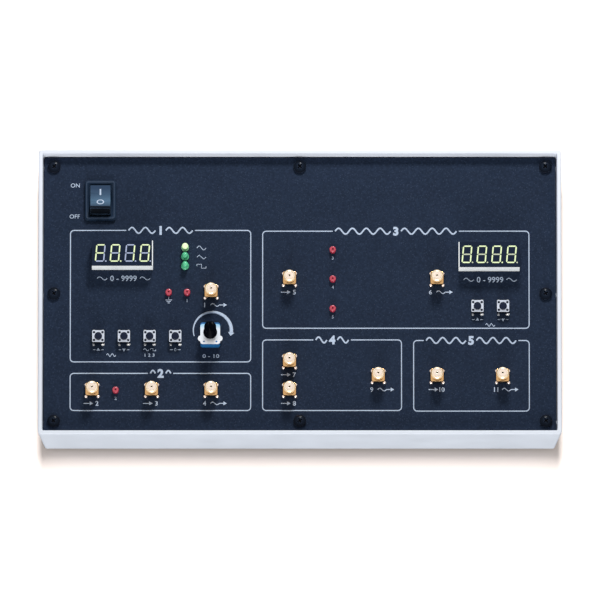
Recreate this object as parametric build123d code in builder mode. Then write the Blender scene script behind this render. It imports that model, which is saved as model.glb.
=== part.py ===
"""Desktop radio frequency trainer: a shallow moulded tray closed by one black component board."""

import os
from math import cos, radians, sin, tan

from build123d import *

os.makedirs("parts", exist_ok=True)

# Everything is in millimetres. The board's centre is above the origin, +X is to the right,
# +Y to the back and +Z up. Places on the board are measured from its centre.

# Fits between pieces
running_clearance = 0.05
loose_clearance = 0.15
lead_clearance = 0.2
seat_gap = 0.3

# Tray: the walls lean in towards the floor so that it draws from its mould
case_length = 259.0
case_depth = 146.5
case_height = 38.0
case_wall = 2.0
case_floor = 2.4
case_draft = 4.5
case_corner_radius = 1.5
case_inner_radius = 0.8
case_bottom_radius = 1.2
rim_radius = 0.5

# Board, which lies this far below the rim
board_recess = 4.5
board_thickness = 1.6
board_corner_radius = 1.0

# Screws that hold the board on the tray's pillars
screw_inset = 5.0
screw_radius = 1.5
screw_length = 8.0
screw_head_radius = 3.2
screw_head_height = 2.0
insert_radius = 2.1
insert_length = 5.5
pillar_radius = 4.0
pillar_hole_depth = 9.0
rib_reach = 6.5
rib_thickness = 1.6

# Feet under the tray
foot_inset_x = 24.0
foot_inset_y = 20.0
foot_height = 3.0
foot_radius = 6.0
foot_taper = 0.8
foot_sink = 1.6
foot_screw_head_radius = 2.6
foot_screw_head_height = 1.3
foot_screw_length = 6.5
foot_boss_radius = 3.5
foot_boss_height = 6.0

# Rocker power switch
rocker_x = -98.8
rocker_y = 47.9
bezel_width = 15.6
bezel_length = 20.6
bezel_height = 2.0
bezel_radius = 1.8
bezel_bevel = 0.6
rocker_body_width = 12.9
rocker_body_length = 18.8
rocker_body_drop = 12.5
rocker_floor = 1.4
rocker_width = 9.9
rocker_radius = 8.0
rocker_pivot_drop = 2.5
rocker_pin_radius = 1.2
rocker_pin_length = 0.9
rocker_corner_angle = 35.0
rocker_skirt_angle = 14.0
rocker_dish = 0.95
rocker_shell = 1.1
rocker_edge_radius = 0.35
rocker_travel = 30.0
clip_length = 7.0
clip_reach = 0.7
clip_height = 4.0
blade_width = 4.8
blade_thickness = 0.8
blade_length = 8.0
blade_stand = 1.0
blade_pitch = 7.0

# Push switches: four in the source section, two in the filter section
switch_size = 6.0
switch_height = 3.2
switch_cover = 0.3
switch_corner = 0.5
switch_button_radius = 1.75
switch_button_height = 5.0
switch_button_edge = 0.2
switch_stem_foot = 1.7
switch_travel = 0.25
switch_well_radius = 2.1
switch_dome_radius = 1.6
switch_dome_thickness = 0.1
switch_leg_width = 0.9
switch_leg_thickness = 0.3
switch_leg_reach = 1.1
switch_leg_pitch = 4.5
switch_pitch = 12.7
source_switch_x = -99.7
source_switch_y = -22.6
filter_switch_x = 87.9
filter_switch_y = -7.1

# Threaded coaxial jacks
jack_thread_radius = 3.0
jack_height = 9.0
jack_base_size = 6.4
jack_base_top = 4.2
jack_base_radius = 0.8
jack_standoff = 1.4
jack_post_radius = 0.9
jack_post_pitch = 6.0
jack_post_top = 1.8
jack_neck_radius = 2.65
jack_neck_height = 0.6
jack_bore_radius = 2.1
jack_pin_radius = 0.635
jack_socket_radius = 0.45
jack_socket_depth = 3.0
jack_pin_recess = 0.2
front_row_y = -49.9
mixer_row_y = -35.2
right_row_y = -42.8
upper_left_y = 0.7
upper_right_y = 7.3
jack_places = (
    (-102.7, front_row_y),
    (-73.3, front_row_y),
    (-43.9, front_row_y),
    (-43.9, upper_left_y),
    (-5.1, front_row_y),
    (-5.1, mixer_row_y),
    (-5.1, upper_right_y),
    (38.8, right_row_y),
    (67.9, right_row_y),
    (67.9, upper_right_y),
    (100.3, right_row_y),
)

# Rotary control
pot_x = -44.3
pot_y = -21.9
pot_width = 9.8
pot_depth = 11.2
pot_height = 5.9
pot_corner = 1.2
pot_plate = 0.5
pot_plate_notch = 0.9
pot_shaft_back = 0.5
pot_shaft_radius = 3.0
pot_bearing_radius = 3.4
pot_bearing_rise = 0.2
pot_shaft_top = 16.5
pot_shaft_foot = 1.5
pot_shaft_edge = 0.4
pot_slot_width = 1.0
pot_slot_depth = 1.2
pot_lug_width = 2.2
pot_lug_back = -2.7
pot_ear_radius = 1.5
pot_ear_inset = 0.3
pot_pin_pitch = 2.5
pot_pin_width = 0.8
pot_pin_front = 1.4

# Four-digit displays
display_places = {"left": (-87.8, 18.9), "right": (93.7, 18.2)}
display_length = 30.2
display_depth = 12.8
display_height = 8.0
display_face = 0.8
display_wall = 1.0
display_ledge = 0.45
digit_count = 4
digit_margin = 0.365
digit_height = 8.35
digit_width = 4.05
digit_slant = 5.0
segment_width = 0.7
segment_gap = 0.12
digits_shift_x = 0.05
digits_shift_y = 0.0
point_radius = 0.45
point_offset = 0.75
last_point_x = display_length / 2 - display_ledge - digit_margin - point_radius
last_digit_x = last_point_x - point_offset - digit_width / 2 - digits_shift_x
digit_pitch = 2 * last_digit_x / (digit_count - 1)

# Lamps beside the source display
lamp_x = -56.8
lamp_y = 19.05
lamp_pitch = 4.7
lamp_names = ("sine_lamp", "triangle_lamp", "square_lamp")
lamp_radius = 1.5
lamp_flange_radius = 1.9
lamp_flange_height = 1.0
lamp_height = 5.2
lamp_lead_radius = 0.3
lamp_lead_pitch = 1.9

# Test points
test_point_places = (
    (-64.9, 0.6),
    (-55.8, 0.6),
    (-91.1, -49.7),
    (16.3, 22.5),
    (16.3, 7.5),
    (16.3, -7.8),
)
bead_radius = 1.6
bead_height = 2.4
bead_edge = 0.5
bead_hole_radius = 0.5
test_pin_radius = 0.4
test_pin_recess = 0.9

# How far soldered leads stand out under the board
lead_tail = 1.5

# Power inlet, hung under the back edge of the board
inlet_x = -70.0
inlet_width = 9.0
inlet_length = 14.0
inlet_height = 10.6
inlet_axis_drop = 6.2
inlet_bore_radius = 3.15
inlet_bore_depth = 9.5
inlet_pin_radius = 1.0
inlet_pin_recess = 0.6
inlet_wall_hole_radius = 5.0

# Parts on the underside of the board
can_places = ((42.0, 4.0), (88.0, -26.0), (17.0, -36.0))
can_sizes = ((38.0, 26.0), (30.0, 16.0), (26.0, 22.0))
can_height = 3.6
can_edge = 0.6
chip_places = ((-80.0, 2.0), (-66.0, -34.0), (-20.0, 20.0), (-20.0, 38.0))
chip_sizes = ((14.0, 14.0), (10.0, 10.0), (6.2, 5.0), (6.2, 5.0))
chip_height = 1.6
chip_bevel = 0.3
capacitor_places = ((-48.0, 55.0), (-36.0, 55.0))
capacitor_radius = 4.0
capacitor_height = 11.5
capacitor_edge = 0.6

# Levels that follow from the sizes above
floor_z = foot_height
rim_z = floor_z + case_height
inner_floor_z = floor_z + case_floor
board_z = rim_z - board_recess
board_under_z = board_z - board_thickness


def lean(drop):
    """How far a drafted wall has come in, this far below the rim."""
    return drop * tan(radians(case_draft))


def tray_size(z):
    """The tray's outer length and depth at a level."""
    inward = 2 * lean(rim_z - z)
    return case_length - inward, case_depth - inward


# Places that follow from the sizes above
board_length = tray_size(board_under_z)[0] - 2 * (case_wall + seat_gap)
board_depth = tray_size(board_under_z)[1] - 2 * (case_wall + seat_gap)
screw_x = board_length / 2 - screw_inset
screw_y = board_depth / 2 - screw_inset
screw_places = [
    (x, y) for x in (-screw_x, 0, screw_x) for y in (-screw_y, 0, screw_y) if (x, y) != (0, 0)
]
foot_x = case_length / 2 - foot_inset_x
foot_y = case_depth / 2 - foot_inset_y
foot_places = [(x, y) for x in (-foot_x, foot_x) for y in (-foot_y, foot_y)]
switch_places = [(source_switch_x + n * switch_pitch, source_switch_y) for n in range(4)]
switch_places += [(filter_switch_x + n * switch_pitch, filter_switch_y) for n in range(2)]
lamp_places = [(lamp_x, lamp_y + n * lamp_pitch) for n in (1, 0, -1)]
pot_pin_y = pot_y - pot_depth / 2 + pot_pin_front
inlet_z = board_under_z - inlet_axis_drop
inlet_mouth_y = tray_size(inlet_z - inlet_bore_radius)[1] / 2 - case_wall - seat_gap


def on_board(places, z=board_z):
    """Locations on the board for a list of places."""
    return Locations(*[(x, y, z) for x, y in places])


def make_case_tray():
    """Tray with drafted walls, eight ribbed pillars for the board and four foot bosses."""
    with BuildPart() as hollow:
        for z in (inner_floor_z, rim_z):
            length, depth = tray_size(z)
            with BuildSketch(Plane.XY.offset(z)):
                RectangleRounded(length - 2 * case_wall, depth - 2 * case_wall, case_inner_radius)
        loft()
        with BuildSketch(Plane.XY.offset(inner_floor_z)):
            with Locations(*screw_places):
                Circle(pillar_radius)
            for x, y in screw_places:
                if x:
                    with Locations((x, y)):
                        Rectangle(2 * rib_reach, rib_thickness)
                if y:
                    with Locations((x, y)):
                        Rectangle(rib_thickness, 2 * rib_reach)
        extrude(amount=board_under_z - inner_floor_z, mode=Mode.SUBTRACT)
        with BuildSketch(Plane.XY.offset(inner_floor_z)):
            with Locations(*foot_places):
                Circle(foot_boss_radius)
        extrude(amount=foot_boss_height, mode=Mode.SUBTRACT)
    with BuildPart() as case_tray:
        for z in (floor_z, rim_z):
            with BuildSketch(Plane.XY.offset(z)):
                RectangleRounded(*tray_size(z), case_corner_radius)
        loft()
        fillet(case_tray.faces().sort_by(Axis.Z)[0].edges(), case_bottom_radius)
        add(hollow.part, mode=Mode.SUBTRACT)
        fillet(case_tray.faces().sort_by(Axis.Z)[-1].edges(), rim_radius)
        with BuildSketch(Plane.XY.offset(board_under_z)):
            with Locations(*screw_places):
                Circle(insert_radius + running_clearance)
        extrude(amount=-pillar_hole_depth, mode=Mode.SUBTRACT)
        with BuildSketch(Plane.XY.offset(floor_z)):
            with Locations(*foot_places):
                Circle(screw_radius + running_clearance)
        extrude(amount=foot_screw_length, mode=Mode.SUBTRACT)
        with BuildSketch(Plane.XZ.offset(-inlet_mouth_y)):
            with Locations((inlet_x, inlet_z)):
                Circle(inlet_wall_hole_radius)
        extrude(amount=inlet_mouth_y - case_depth / 2, mode=Mode.SUBTRACT)
    case_tray.part.label = "case_tray"
    export_step(case_tray.part, "parts/case_tray.step")


def make_threaded_inserts():
    """Brass inserts, one pressed into the top of each pillar."""
    with BuildPart() as threaded_inserts:
        with BuildSketch(Plane.XY.offset(board_under_z)):
            with Locations(*screw_places):
                Circle(insert_radius)
                Circle(screw_radius + running_clearance, mode=Mode.SUBTRACT)
        extrude(amount=-insert_length)
    threaded_inserts.part.label = "threaded_inserts"
    export_step(threaded_inserts.part, "parts/threaded_inserts.step")


def make_rubber_feet():
    """Four tapered feet with a sunk hole, so that the screw heads stay off the table."""
    hole_radius = screw_radius + loose_clearance
    sunk_radius = foot_screw_head_radius + seat_gap
    with BuildPart() as foot:
        with BuildSketch(Plane.XZ):
            with BuildLine():
                Polyline(
                    (hole_radius, foot_height),
                    (foot_radius, foot_height),
                    (foot_radius - foot_taper, 0),
                    (sunk_radius, 0),
                    (sunk_radius, foot_sink),
                    (hole_radius, foot_sink),
                    close=True,
                )
            make_face()
        revolve(axis=Axis.Z)
    with BuildPart() as rubber_feet:
        with Locations(*foot_places):
            add(foot.part)
    rubber_feet.part.label = "rubber_feet"
    export_step(rubber_feet.part, "parts/rubber_feet.step")


def pan_head_screw(head_radius, head_height, shank_length):
    """A domed screw whose head stands on Z = 0, with its shank below."""
    edge_height = head_height / 2
    with BuildPart() as screw:
        with BuildSketch(Plane.XZ):
            with BuildLine():
                Polyline(
                    (0, head_height),
                    (0, -shank_length),
                    (screw_radius, -shank_length),
                    (screw_radius, 0),
                    (head_radius, 0),
                    (head_radius, edge_height),
                )
                TangentArc((0, head_height), (head_radius, edge_height), tangent=(1, 0))
            make_face()
        revolve(axis=Axis.Z)
    return screw.part


def make_screws():
    """Screws through the board into the inserts, and screws up through the feet."""
    board_screw = pan_head_screw(screw_head_radius, screw_head_height, screw_length)
    with BuildPart() as board_screws:
        with on_board(screw_places):
            add(board_screw)
    board_screws.part.label = "board_screws"
    export_step(board_screws.part, "parts/board_screws.step")

    foot_screw = pan_head_screw(foot_screw_head_radius, foot_screw_head_height, foot_screw_length)
    with BuildPart() as foot_screws:
        with on_board(foot_places, foot_sink):
            add(foot_screw, rotation=(180, 0, 0))
    foot_screws.part.label = "foot_screws"
    export_step(foot_screws.part, "parts/foot_screws.step")


def make_main_board():
    """The black component board with its switch cut-out, screw holes and lead holes."""
    with BuildPart() as main_board:
        with BuildSketch(Plane.XY.offset(board_under_z)):
            RectangleRounded(board_length, board_depth, board_corner_radius)
            with Locations(*screw_places):
                Circle(screw_radius + loose_clearance, mode=Mode.SUBTRACT)
            with Locations((rocker_x, rocker_y)):
                Rectangle(
                    rocker_body_width + 2 * loose_clearance,
                    rocker_body_length + 2 * loose_clearance,
                    mode=Mode.SUBTRACT,
                )
            with Locations(*jack_places):
                Circle(jack_pin_radius + lead_clearance, mode=Mode.SUBTRACT)
            with Locations(*test_point_places):
                Circle(test_pin_radius + lead_clearance, mode=Mode.SUBTRACT)
            with Locations(*lamp_places):
                with GridLocations(lamp_lead_pitch, 1, 2, 1):
                    Circle(lamp_lead_radius + lead_clearance, mode=Mode.SUBTRACT)
            with Locations((pot_x, pot_pin_y)):
                with GridLocations(pot_pin_pitch, 1, 3, 1):
                    Rectangle(
                        pot_pin_width + 2 * lead_clearance,
                        pot_plate + 2 * lead_clearance,
                        mode=Mode.SUBTRACT,
                    )
            with Locations((pot_x, pot_y + pot_lug_back)):
                with GridLocations(pot_width + pot_plate, 1, 2, 1):
                    Rectangle(
                        pot_plate + 2 * lead_clearance,
                        pot_lug_width + 2 * lead_clearance,
                        mode=Mode.SUBTRACT,
                    )
        extrude(amount=board_thickness)
    main_board.part.label = "main_board"
    export_step(main_board.part, "parts/main_board.step")


def rocker_side_plane(x, tilt=0.0):
    """A plane across the rocker's pivot that looks along +X, its first axis to the back."""
    pivot = (x, rocker_y, board_z + bezel_height - rocker_pivot_drop)
    return Plane(origin=pivot, x_dir=(0, cos(radians(tilt)), sin(radians(tilt))), z_dir=(1, 0, 0))


def make_rocker_housing():
    """Snap-in switch body: bevelled bezel, open well, pivot holes and two spring clips."""
    well_width = rocker_width + 2 * loose_clearance
    well_length = 2 * (rocker_radius + loose_clearance)
    well_depth = bezel_height + rocker_body_drop - rocker_floor
    clip_top_z = board_under_z - loose_clearance
    with BuildPart() as rocker_housing:
        with BuildSketch(Plane.XY.offset(board_z)):
            with Locations((rocker_x, rocker_y)):
                RectangleRounded(bezel_width, bezel_length, bezel_radius)
        extrude(amount=bezel_height)
        chamfer(rocker_housing.faces().sort_by(Axis.Z)[-1].edges(), bezel_bevel)
        with BuildSketch(Plane.XY.offset(board_z)):
            with Locations((rocker_x, rocker_y)):
                Rectangle(rocker_body_width, rocker_body_length)
        extrude(amount=-rocker_body_drop)
        with BuildSketch(Plane.XZ.offset(-rocker_y - clip_length / 2)):
            for side in (-1, 1):
                edge_x = rocker_x + side * rocker_body_width / 2
                with BuildLine():
                    Polyline(
                        (edge_x, clip_top_z),
                        (edge_x + side * clip_reach, clip_top_z),
                        (edge_x, clip_top_z - clip_height),
                        close=True,
                    )
                make_face()
        extrude(amount=clip_length)
        with BuildSketch(Plane.XY.offset(board_z + bezel_height)):
            with Locations((rocker_x, rocker_y)):
                Rectangle(well_width, well_length)
        extrude(amount=-well_depth, mode=Mode.SUBTRACT)
        with BuildSketch(rocker_side_plane(rocker_x)):
            Circle(rocker_pin_radius + running_clearance)
        extrude(
            amount=rocker_width / 2 + rocker_pin_length + loose_clearance,
            both=True,
            mode=Mode.SUBTRACT,
        )
        with BuildSketch(Plane.XY.offset(board_z - rocker_body_drop)):
            with Locations((rocker_x, rocker_y)):
                with GridLocations(1, blade_pitch, 1, 2):
                    Rectangle(blade_width, blade_thickness)
        extrude(amount=rocker_floor, mode=Mode.SUBTRACT)
    rocker_housing.part.label = "rocker_housing"
    export_step(rocker_housing.part, "parts/rocker_housing.step")


def make_rocker_paddle():
    """Dished paddle on two pivot pins, hollow underneath, at rest with its back end pressed."""
    corner = radians(rocker_corner_angle)
    skirt = radians(rocker_skirt_angle)
    corner_point = (rocker_radius * cos(corner), rocker_radius * sin(corner))
    skirt_point = (rocker_radius * cos(skirt), -rocker_radius * sin(skirt))
    dish_point = (0, corner_point[1] - rocker_dish)
    rest_tilt = -rocker_travel / 2
    with BuildPart() as rocker_paddle:
        with BuildSketch(rocker_side_plane(rocker_x, rest_tilt)):
            with BuildLine():
                ThreePointArc((-corner_point[0], corner_point[1]), dish_point, corner_point)
                ThreePointArc(corner_point, (rocker_radius, 0), skirt_point)
                Line(skirt_point, (-skirt_point[0], skirt_point[1]))
                ThreePointArc(
                    (-skirt_point[0], skirt_point[1]),
                    (-rocker_radius, 0),
                    (-corner_point[0], corner_point[1]),
                )
            make_face()
        extrude(amount=rocker_width / 2, both=True)
        fillet(
            rocker_paddle.edges().filter_by(Axis.X).sort_by(Axis.Z)[-1],
            rocker_edge_radius,
        )
        hollow_length = 2 * (skirt_point[0] - rocker_shell)
        hollow_height = dish_point[1] - rocker_shell - skirt_point[1]
        with BuildSketch(rocker_side_plane(rocker_x, rest_tilt)):
            with Locations((0, skirt_point[1])):
                Rectangle(hollow_length, hollow_height, align=(Align.CENTER, Align.MIN))
            Circle(rocker_pin_radius + rocker_shell, mode=Mode.SUBTRACT)
        extrude(amount=rocker_width / 2 - rocker_shell, both=True, mode=Mode.SUBTRACT)
        with BuildSketch(rocker_side_plane(rocker_x)):
            Circle(rocker_pin_radius)
        extrude(amount=rocker_width / 2 + rocker_pin_length, both=True)
    rocker_paddle.part.label = "rocker_paddle"
    export_step(rocker_paddle.part, "parts/rocker_paddle.step")


def make_rocker_terminals():
    """Two flat blades that pass through the switch body's floor."""
    with BuildPart() as rocker_terminals:
        with BuildSketch(Plane.XY.offset(board_z - rocker_body_drop + rocker_floor + blade_stand)):
            with Locations((rocker_x, rocker_y)):
                with GridLocations(1, blade_pitch, 1, 2):
                    Rectangle(blade_width, blade_thickness)
        extrude(amount=-(blade_length + rocker_floor + blade_stand))
    rocker_terminals.part.label = "rocker_terminals"
    export_step(rocker_terminals.part, "parts/rocker_terminals.step")


def make_push_switches():
    """Moulded bases and round buttons, each button free to sink onto its snap dome."""
    well_foot = switch_stem_foot - switch_travel - switch_dome_thickness
    for number, (x, y) in enumerate(switch_places, start=1):
        with BuildPart() as switch_base:
            with BuildSketch(Plane.XY.offset(board_z)):
                with Locations((x, y)):
                    RectangleRounded(switch_size, switch_size, switch_corner)
            extrude(amount=switch_height)
            with BuildSketch(Plane.XY.offset(board_z + switch_height)):
                with Locations((x, y)):
                    Circle(switch_well_radius)
            extrude(amount=well_foot - switch_height, mode=Mode.SUBTRACT)
        switch_base.part.label = f"push_switch_base_{number}"
        export_step(switch_base.part, f"parts/{switch_base.part.label}.step")

        with BuildPart() as button:
            with BuildSketch(Plane.XY.offset(board_z + switch_stem_foot)):
                with Locations((x, y)):
                    Circle(switch_button_radius)
            extrude(amount=switch_button_height - switch_stem_foot)
            chamfer(button.faces().sort_by(Axis.Z)[-1].edges(), switch_button_edge)
        button.part.label = f"push_button_{number}"
        export_step(button.part, f"parts/{button.part.label}.step")


def make_push_switch_metal():
    """Cover plates, snap domes and the tinned legs that are soldered to the board."""
    dome_z = board_z + switch_stem_foot - switch_travel - switch_dome_thickness
    leg_y = switch_size / 2 + switch_leg_reach / 2
    with BuildPart() as switch_covers:
        with BuildSketch(Plane.XY.offset(board_z + switch_height)):
            with Locations(*switch_places):
                RectangleRounded(switch_size, switch_size, switch_corner)
                Circle(switch_button_radius + loose_clearance, mode=Mode.SUBTRACT)
        extrude(amount=switch_cover)
    switch_covers.part.label = "push_switch_covers"
    export_step(switch_covers.part, "parts/push_switch_covers.step")

    with BuildPart() as snap_domes:
        with BuildSketch(Plane.XY.offset(dome_z)):
            with Locations(*switch_places):
                Circle(switch_dome_radius)
        extrude(amount=switch_dome_thickness)
    snap_domes.part.label = "push_switch_domes"
    export_step(snap_domes.part, "parts/push_switch_domes.step")

    with BuildPart() as switch_legs:
        with BuildSketch(Plane.XY.offset(board_z)):
            with Locations(*switch_places):
                with GridLocations(switch_leg_pitch, 2 * leg_y, 2, 2):
                    Rectangle(switch_leg_width, switch_leg_reach)
        extrude(amount=switch_leg_thickness)
    switch_legs.part.label = "push_switch_legs"
    export_step(switch_legs.part, "parts/push_switch_legs.step")


def jack_shell():
    """One plated shell on the level Z = 0: raised base, four corner posts and a necked barrel."""
    with BuildPart() as shell:
        with BuildSketch(Plane.XY.offset(jack_standoff)):
            RectangleRounded(jack_base_size, jack_base_size, jack_base_radius)
        extrude(amount=jack_base_top - jack_standoff)
        with BuildSketch():
            with GridLocations(jack_post_pitch, jack_post_pitch, 2, 2):
                Circle(jack_post_radius)
        extrude(amount=jack_post_top)
        with BuildSketch(Plane.XY.offset(jack_base_top)):
            Circle(jack_neck_radius)
        extrude(amount=jack_neck_height)
        with BuildSketch(Plane.XY.offset(jack_base_top + jack_neck_height)):
            Circle(jack_thread_radius)
        extrude(amount=jack_height - jack_base_top - jack_neck_height)
        with BuildSketch(Plane.XY.offset(jack_height)):
            Circle(jack_bore_radius)
        extrude(amount=jack_standoff - jack_height, mode=Mode.SUBTRACT)
    return shell.part


def make_jacks():
    """Eleven jack shells, their pale insulators and their centre contacts."""
    shell = jack_shell()
    for number, (x, y) in enumerate(jack_places, start=1):
        with BuildPart() as jack:
            with Locations((x, y, board_z)):
                add(shell)
        jack.part.label = f"jack_shell_{number}"
        export_step(jack.part, f"parts/{jack.part.label}.step")

    with BuildPart() as insulators:
        with BuildSketch(Plane.XY.offset(board_z + jack_standoff)):
            with Locations(*jack_places):
                Circle(jack_bore_radius - running_clearance)
                Circle(jack_pin_radius + running_clearance, mode=Mode.SUBTRACT)
        extrude(amount=jack_height - jack_pin_recess - jack_standoff)
    insulators.part.label = "jack_insulators"
    export_step(insulators.part, "parts/jack_insulators.step")

    contact_top_z = board_z + jack_height - jack_pin_recess
    with BuildPart() as contacts:
        with BuildSketch(Plane.XY.offset(contact_top_z)):
            with Locations(*jack_places):
                Circle(jack_pin_radius)
        extrude(amount=board_under_z - lead_tail - contact_top_z)
        with BuildSketch(Plane.XY.offset(contact_top_z)):
            with Locations(*jack_places):
                Circle(jack_socket_radius)
        extrude(amount=-jack_socket_depth, mode=Mode.SUBTRACT)
    contacts.part.label = "jack_contacts"
    export_step(contacts.part, "parts/jack_contacts.step")


def make_pot_base():
    """Blue moulded body of the rotary control, with a bearing well for the shaft."""
    with BuildPart() as pot_base:
        with BuildSketch(Plane.XY.offset(board_z)):
            with Locations((pot_x, pot_y)):
                RectangleRounded(pot_width, pot_depth, pot_corner)
        extrude(amount=pot_height)
        with BuildSketch(Plane.XY.offset(board_z + pot_height)):
            with Locations((pot_x, pot_y + pot_shaft_back)):
                Circle(pot_bearing_radius + running_clearance)
        extrude(amount=pot_shaft_foot - running_clearance - pot_height, mode=Mode.SUBTRACT)
    pot_base.part.label = "pot_base"
    export_step(pot_base.part, "parts/pot_base.step")


def make_pot_frame():
    """Steel plate over the body, with a round ear and a lug down through the board at each side."""
    plate_z = board_z + pot_height
    with BuildPart() as pot_frame:
        with BuildSketch(Plane.XY.offset(plate_z)):
            with Locations((pot_x, pot_y - pot_plate_notch / 2)):
                RectangleRounded(pot_width, pot_depth - pot_plate_notch, pot_corner)
            with Locations((pot_x, pot_y + pot_lug_back)):
                Rectangle(pot_width + 2 * pot_plate, pot_lug_width)
                with GridLocations(pot_width - 2 * pot_ear_inset, 1, 2, 1):
                    Circle(pot_ear_radius)
            with Locations((pot_x, pot_y + pot_shaft_back)):
                Circle(pot_bearing_radius + running_clearance, mode=Mode.SUBTRACT)
        extrude(amount=pot_plate)
        with BuildSketch(Plane.XY.offset(plate_z)):
            with Locations((pot_x, pot_y + pot_lug_back)):
                with GridLocations(pot_width + pot_plate, 1, 2, 1):
                    Rectangle(pot_plate, pot_lug_width)
        extrude(amount=board_under_z - lead_tail - plate_z)
    pot_frame.part.label = "pot_frame"
    export_step(pot_frame.part, "parts/pot_frame.step")


def make_pot_terminals():
    """Three flat pins under the front of the rotary control, through the board."""
    with BuildPart() as pot_terminals:
        with BuildSketch(Plane.XY.offset(board_z)):
            with Locations((pot_x, pot_pin_y)):
                with GridLocations(pot_pin_pitch, 1, 3, 1):
                    Rectangle(pot_pin_width, pot_plate)
        extrude(amount=-(board_thickness + lead_tail))
    pot_terminals.part.label = "pot_terminals"
    export_step(pot_terminals.part, "parts/pot_terminals.step")


def make_pot_shaft():
    """Shaft that steps down above its bearing, with a screwdriver slot across its end."""
    shoulder = pot_height + pot_plate + pot_bearing_rise
    with BuildPart() as pot_shaft:
        with BuildSketch(Plane.XY.offset(board_z + pot_shaft_foot)):
            with Locations((pot_x, pot_y + pot_shaft_back)):
                Circle(pot_bearing_radius)
        extrude(amount=shoulder - pot_shaft_foot)
        with BuildSketch(Plane.XY.offset(board_z + shoulder)):
            with Locations((pot_x, pot_y + pot_shaft_back)):
                Circle(pot_shaft_radius)
        extrude(amount=pot_shaft_top - shoulder)
        chamfer(pot_shaft.faces().sort_by(Axis.Z)[-1].edges(), pot_shaft_edge)
        with BuildSketch(Plane.XY.offset(board_z + pot_shaft_top)):
            with Locations((pot_x, pot_y + pot_shaft_back)):
                Rectangle(pot_slot_width, 2 * pot_shaft_radius)
        extrude(amount=-pot_slot_depth, mode=Mode.SUBTRACT)
    pot_shaft.part.label = "pot_shaft"
    export_step(pot_shaft.part, "parts/pot_shaft.step")


def segment_outlines():
    """Corner points of one digit's seven slanted segments, about the digit's centre."""
    half_width = segment_width / 2
    half_bar = digit_width / 2
    half_post = digit_height / 4
    slant = tan(radians(digit_slant))
    bars = [(0, row * digit_height / 2, 0) for row in (-1, 0, 1)]
    posts = [(side * half_bar, row * half_post, 1) for side in (-1, 1) for row in (-1, 1)]
    outlines = []
    for centre_x, centre_y, upright in bars + posts:
        reach = (half_post if upright else half_bar) - segment_gap
        shoulder = reach - half_width
        along_and_across = (
            (-reach, 0),
            (-shoulder, half_width),
            (shoulder, half_width),
            (reach, 0),
            (shoulder, -half_width),
            (-shoulder, -half_width),
        )
        corners = [
            (centre_x + (across if upright else along), centre_y + (along if upright else across))
            for along, across in along_and_across
        ]
        outlines.append([(x + y * slant, y) for x, y in corners])
    return outlines


def segments_sketch(place):
    """All the segments and points of one display, on the underside of its face plate."""
    first_digit_x = -(digit_count - 1) / 2 * digit_pitch + digits_shift_x
    point_y = -digit_height / 2
    with BuildSketch(Plane.XY.offset(board_z + display_height - display_face)) as segments:
        for digit in range(digit_count):
            centre_x = place[0] + first_digit_x + digit * digit_pitch
            centre_y = place[1] + digits_shift_y
            for outline in segment_outlines():
                Polygon(*[(centre_x + x, centre_y + y) for x, y in outline], align=None)
            with Locations((centre_x + digit_width / 2 + point_offset, centre_y + point_y)):
                RegularPolygon(point_radius, 8)
    return segments.sketch


def make_displays():
    """Two displays: a pale cup, a dark face plate with windows, and the segments in them."""
    for side, place in display_places.items():
        segments = segments_sketch(place)
        inward = -1 if place[0] > 0 else 1
        ledge_x = place[0] + inward * (display_length - display_ledge) / 2
        face_x = place[0] - inward * display_ledge / 2
        with BuildPart() as housing:
            with BuildSketch(Plane.XY.offset(board_z)):
                with Locations(place):
                    Rectangle(display_length, display_depth)
            extrude(amount=display_height - display_face)
            with BuildSketch(Plane.XY.offset(board_z)):
                with Locations(place):
                    Rectangle(display_length - 2 * display_wall, display_depth - 2 * display_wall)
            extrude(amount=display_height - display_face - display_wall, mode=Mode.SUBTRACT)
            with BuildSketch(Plane.XY.offset(board_z + display_height - display_face)):
                with Locations((ledge_x, place[1])):
                    Rectangle(display_ledge, display_depth)
            extrude(amount=display_face)
        housing.part.label = f"display_housing_{side}"
        export_step(housing.part, f"parts/{housing.part.label}.step")

        with BuildPart() as face:
            with BuildSketch(Plane.XY.offset(board_z + display_height - display_face)):
                with Locations((face_x, place[1])):
                    Rectangle(display_length - display_ledge, display_depth)
                add(segments, mode=Mode.SUBTRACT)
            extrude(amount=display_face)
        face.part.label = f"display_face_{side}"
        export_step(face.part, f"parts/{face.part.label}.step")

        with BuildPart() as windows:
            add(segments)
            extrude(amount=display_face)
        windows.part.label = f"display_segments_{side}"
        export_step(windows.part, f"parts/{windows.part.label}.step")


def make_lamps():
    """Three round-nosed lamps with flanges, and their leads through the board."""
    with BuildPart() as lamp:
        with BuildSketch(Plane.XZ):
            with BuildLine():
                Polyline(
                    (0, lamp_height),
                    (0, 0),
                    (lamp_flange_radius, 0),
                    (lamp_flange_radius, lamp_flange_height),
                    (lamp_radius, lamp_flange_height),
                    (lamp_radius, lamp_height - lamp_radius),
                )
                TangentArc((0, lamp_height), (lamp_radius, lamp_height - lamp_radius), tangent=(1, 0))
            make_face()
        revolve(axis=Axis.Z)
    for name, (x, y) in zip(lamp_names, lamp_places):
        with BuildPart() as placed_lamp:
            with Locations((x, y, board_z)):
                add(lamp.part)
        placed_lamp.part.label = name
        export_step(placed_lamp.part, f"parts/{name}.step")

    with BuildPart() as lamp_leads:
        with BuildSketch(Plane.XY.offset(board_z)):
            with Locations(*lamp_places):
                with GridLocations(lamp_lead_pitch, 1, 2, 1):
                    Circle(lamp_lead_radius)
        extrude(amount=-(board_thickness + lead_tail))
    lamp_leads.part.label = "lamp_leads"
    export_step(lamp_leads.part, "parts/lamp_leads.step")


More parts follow.
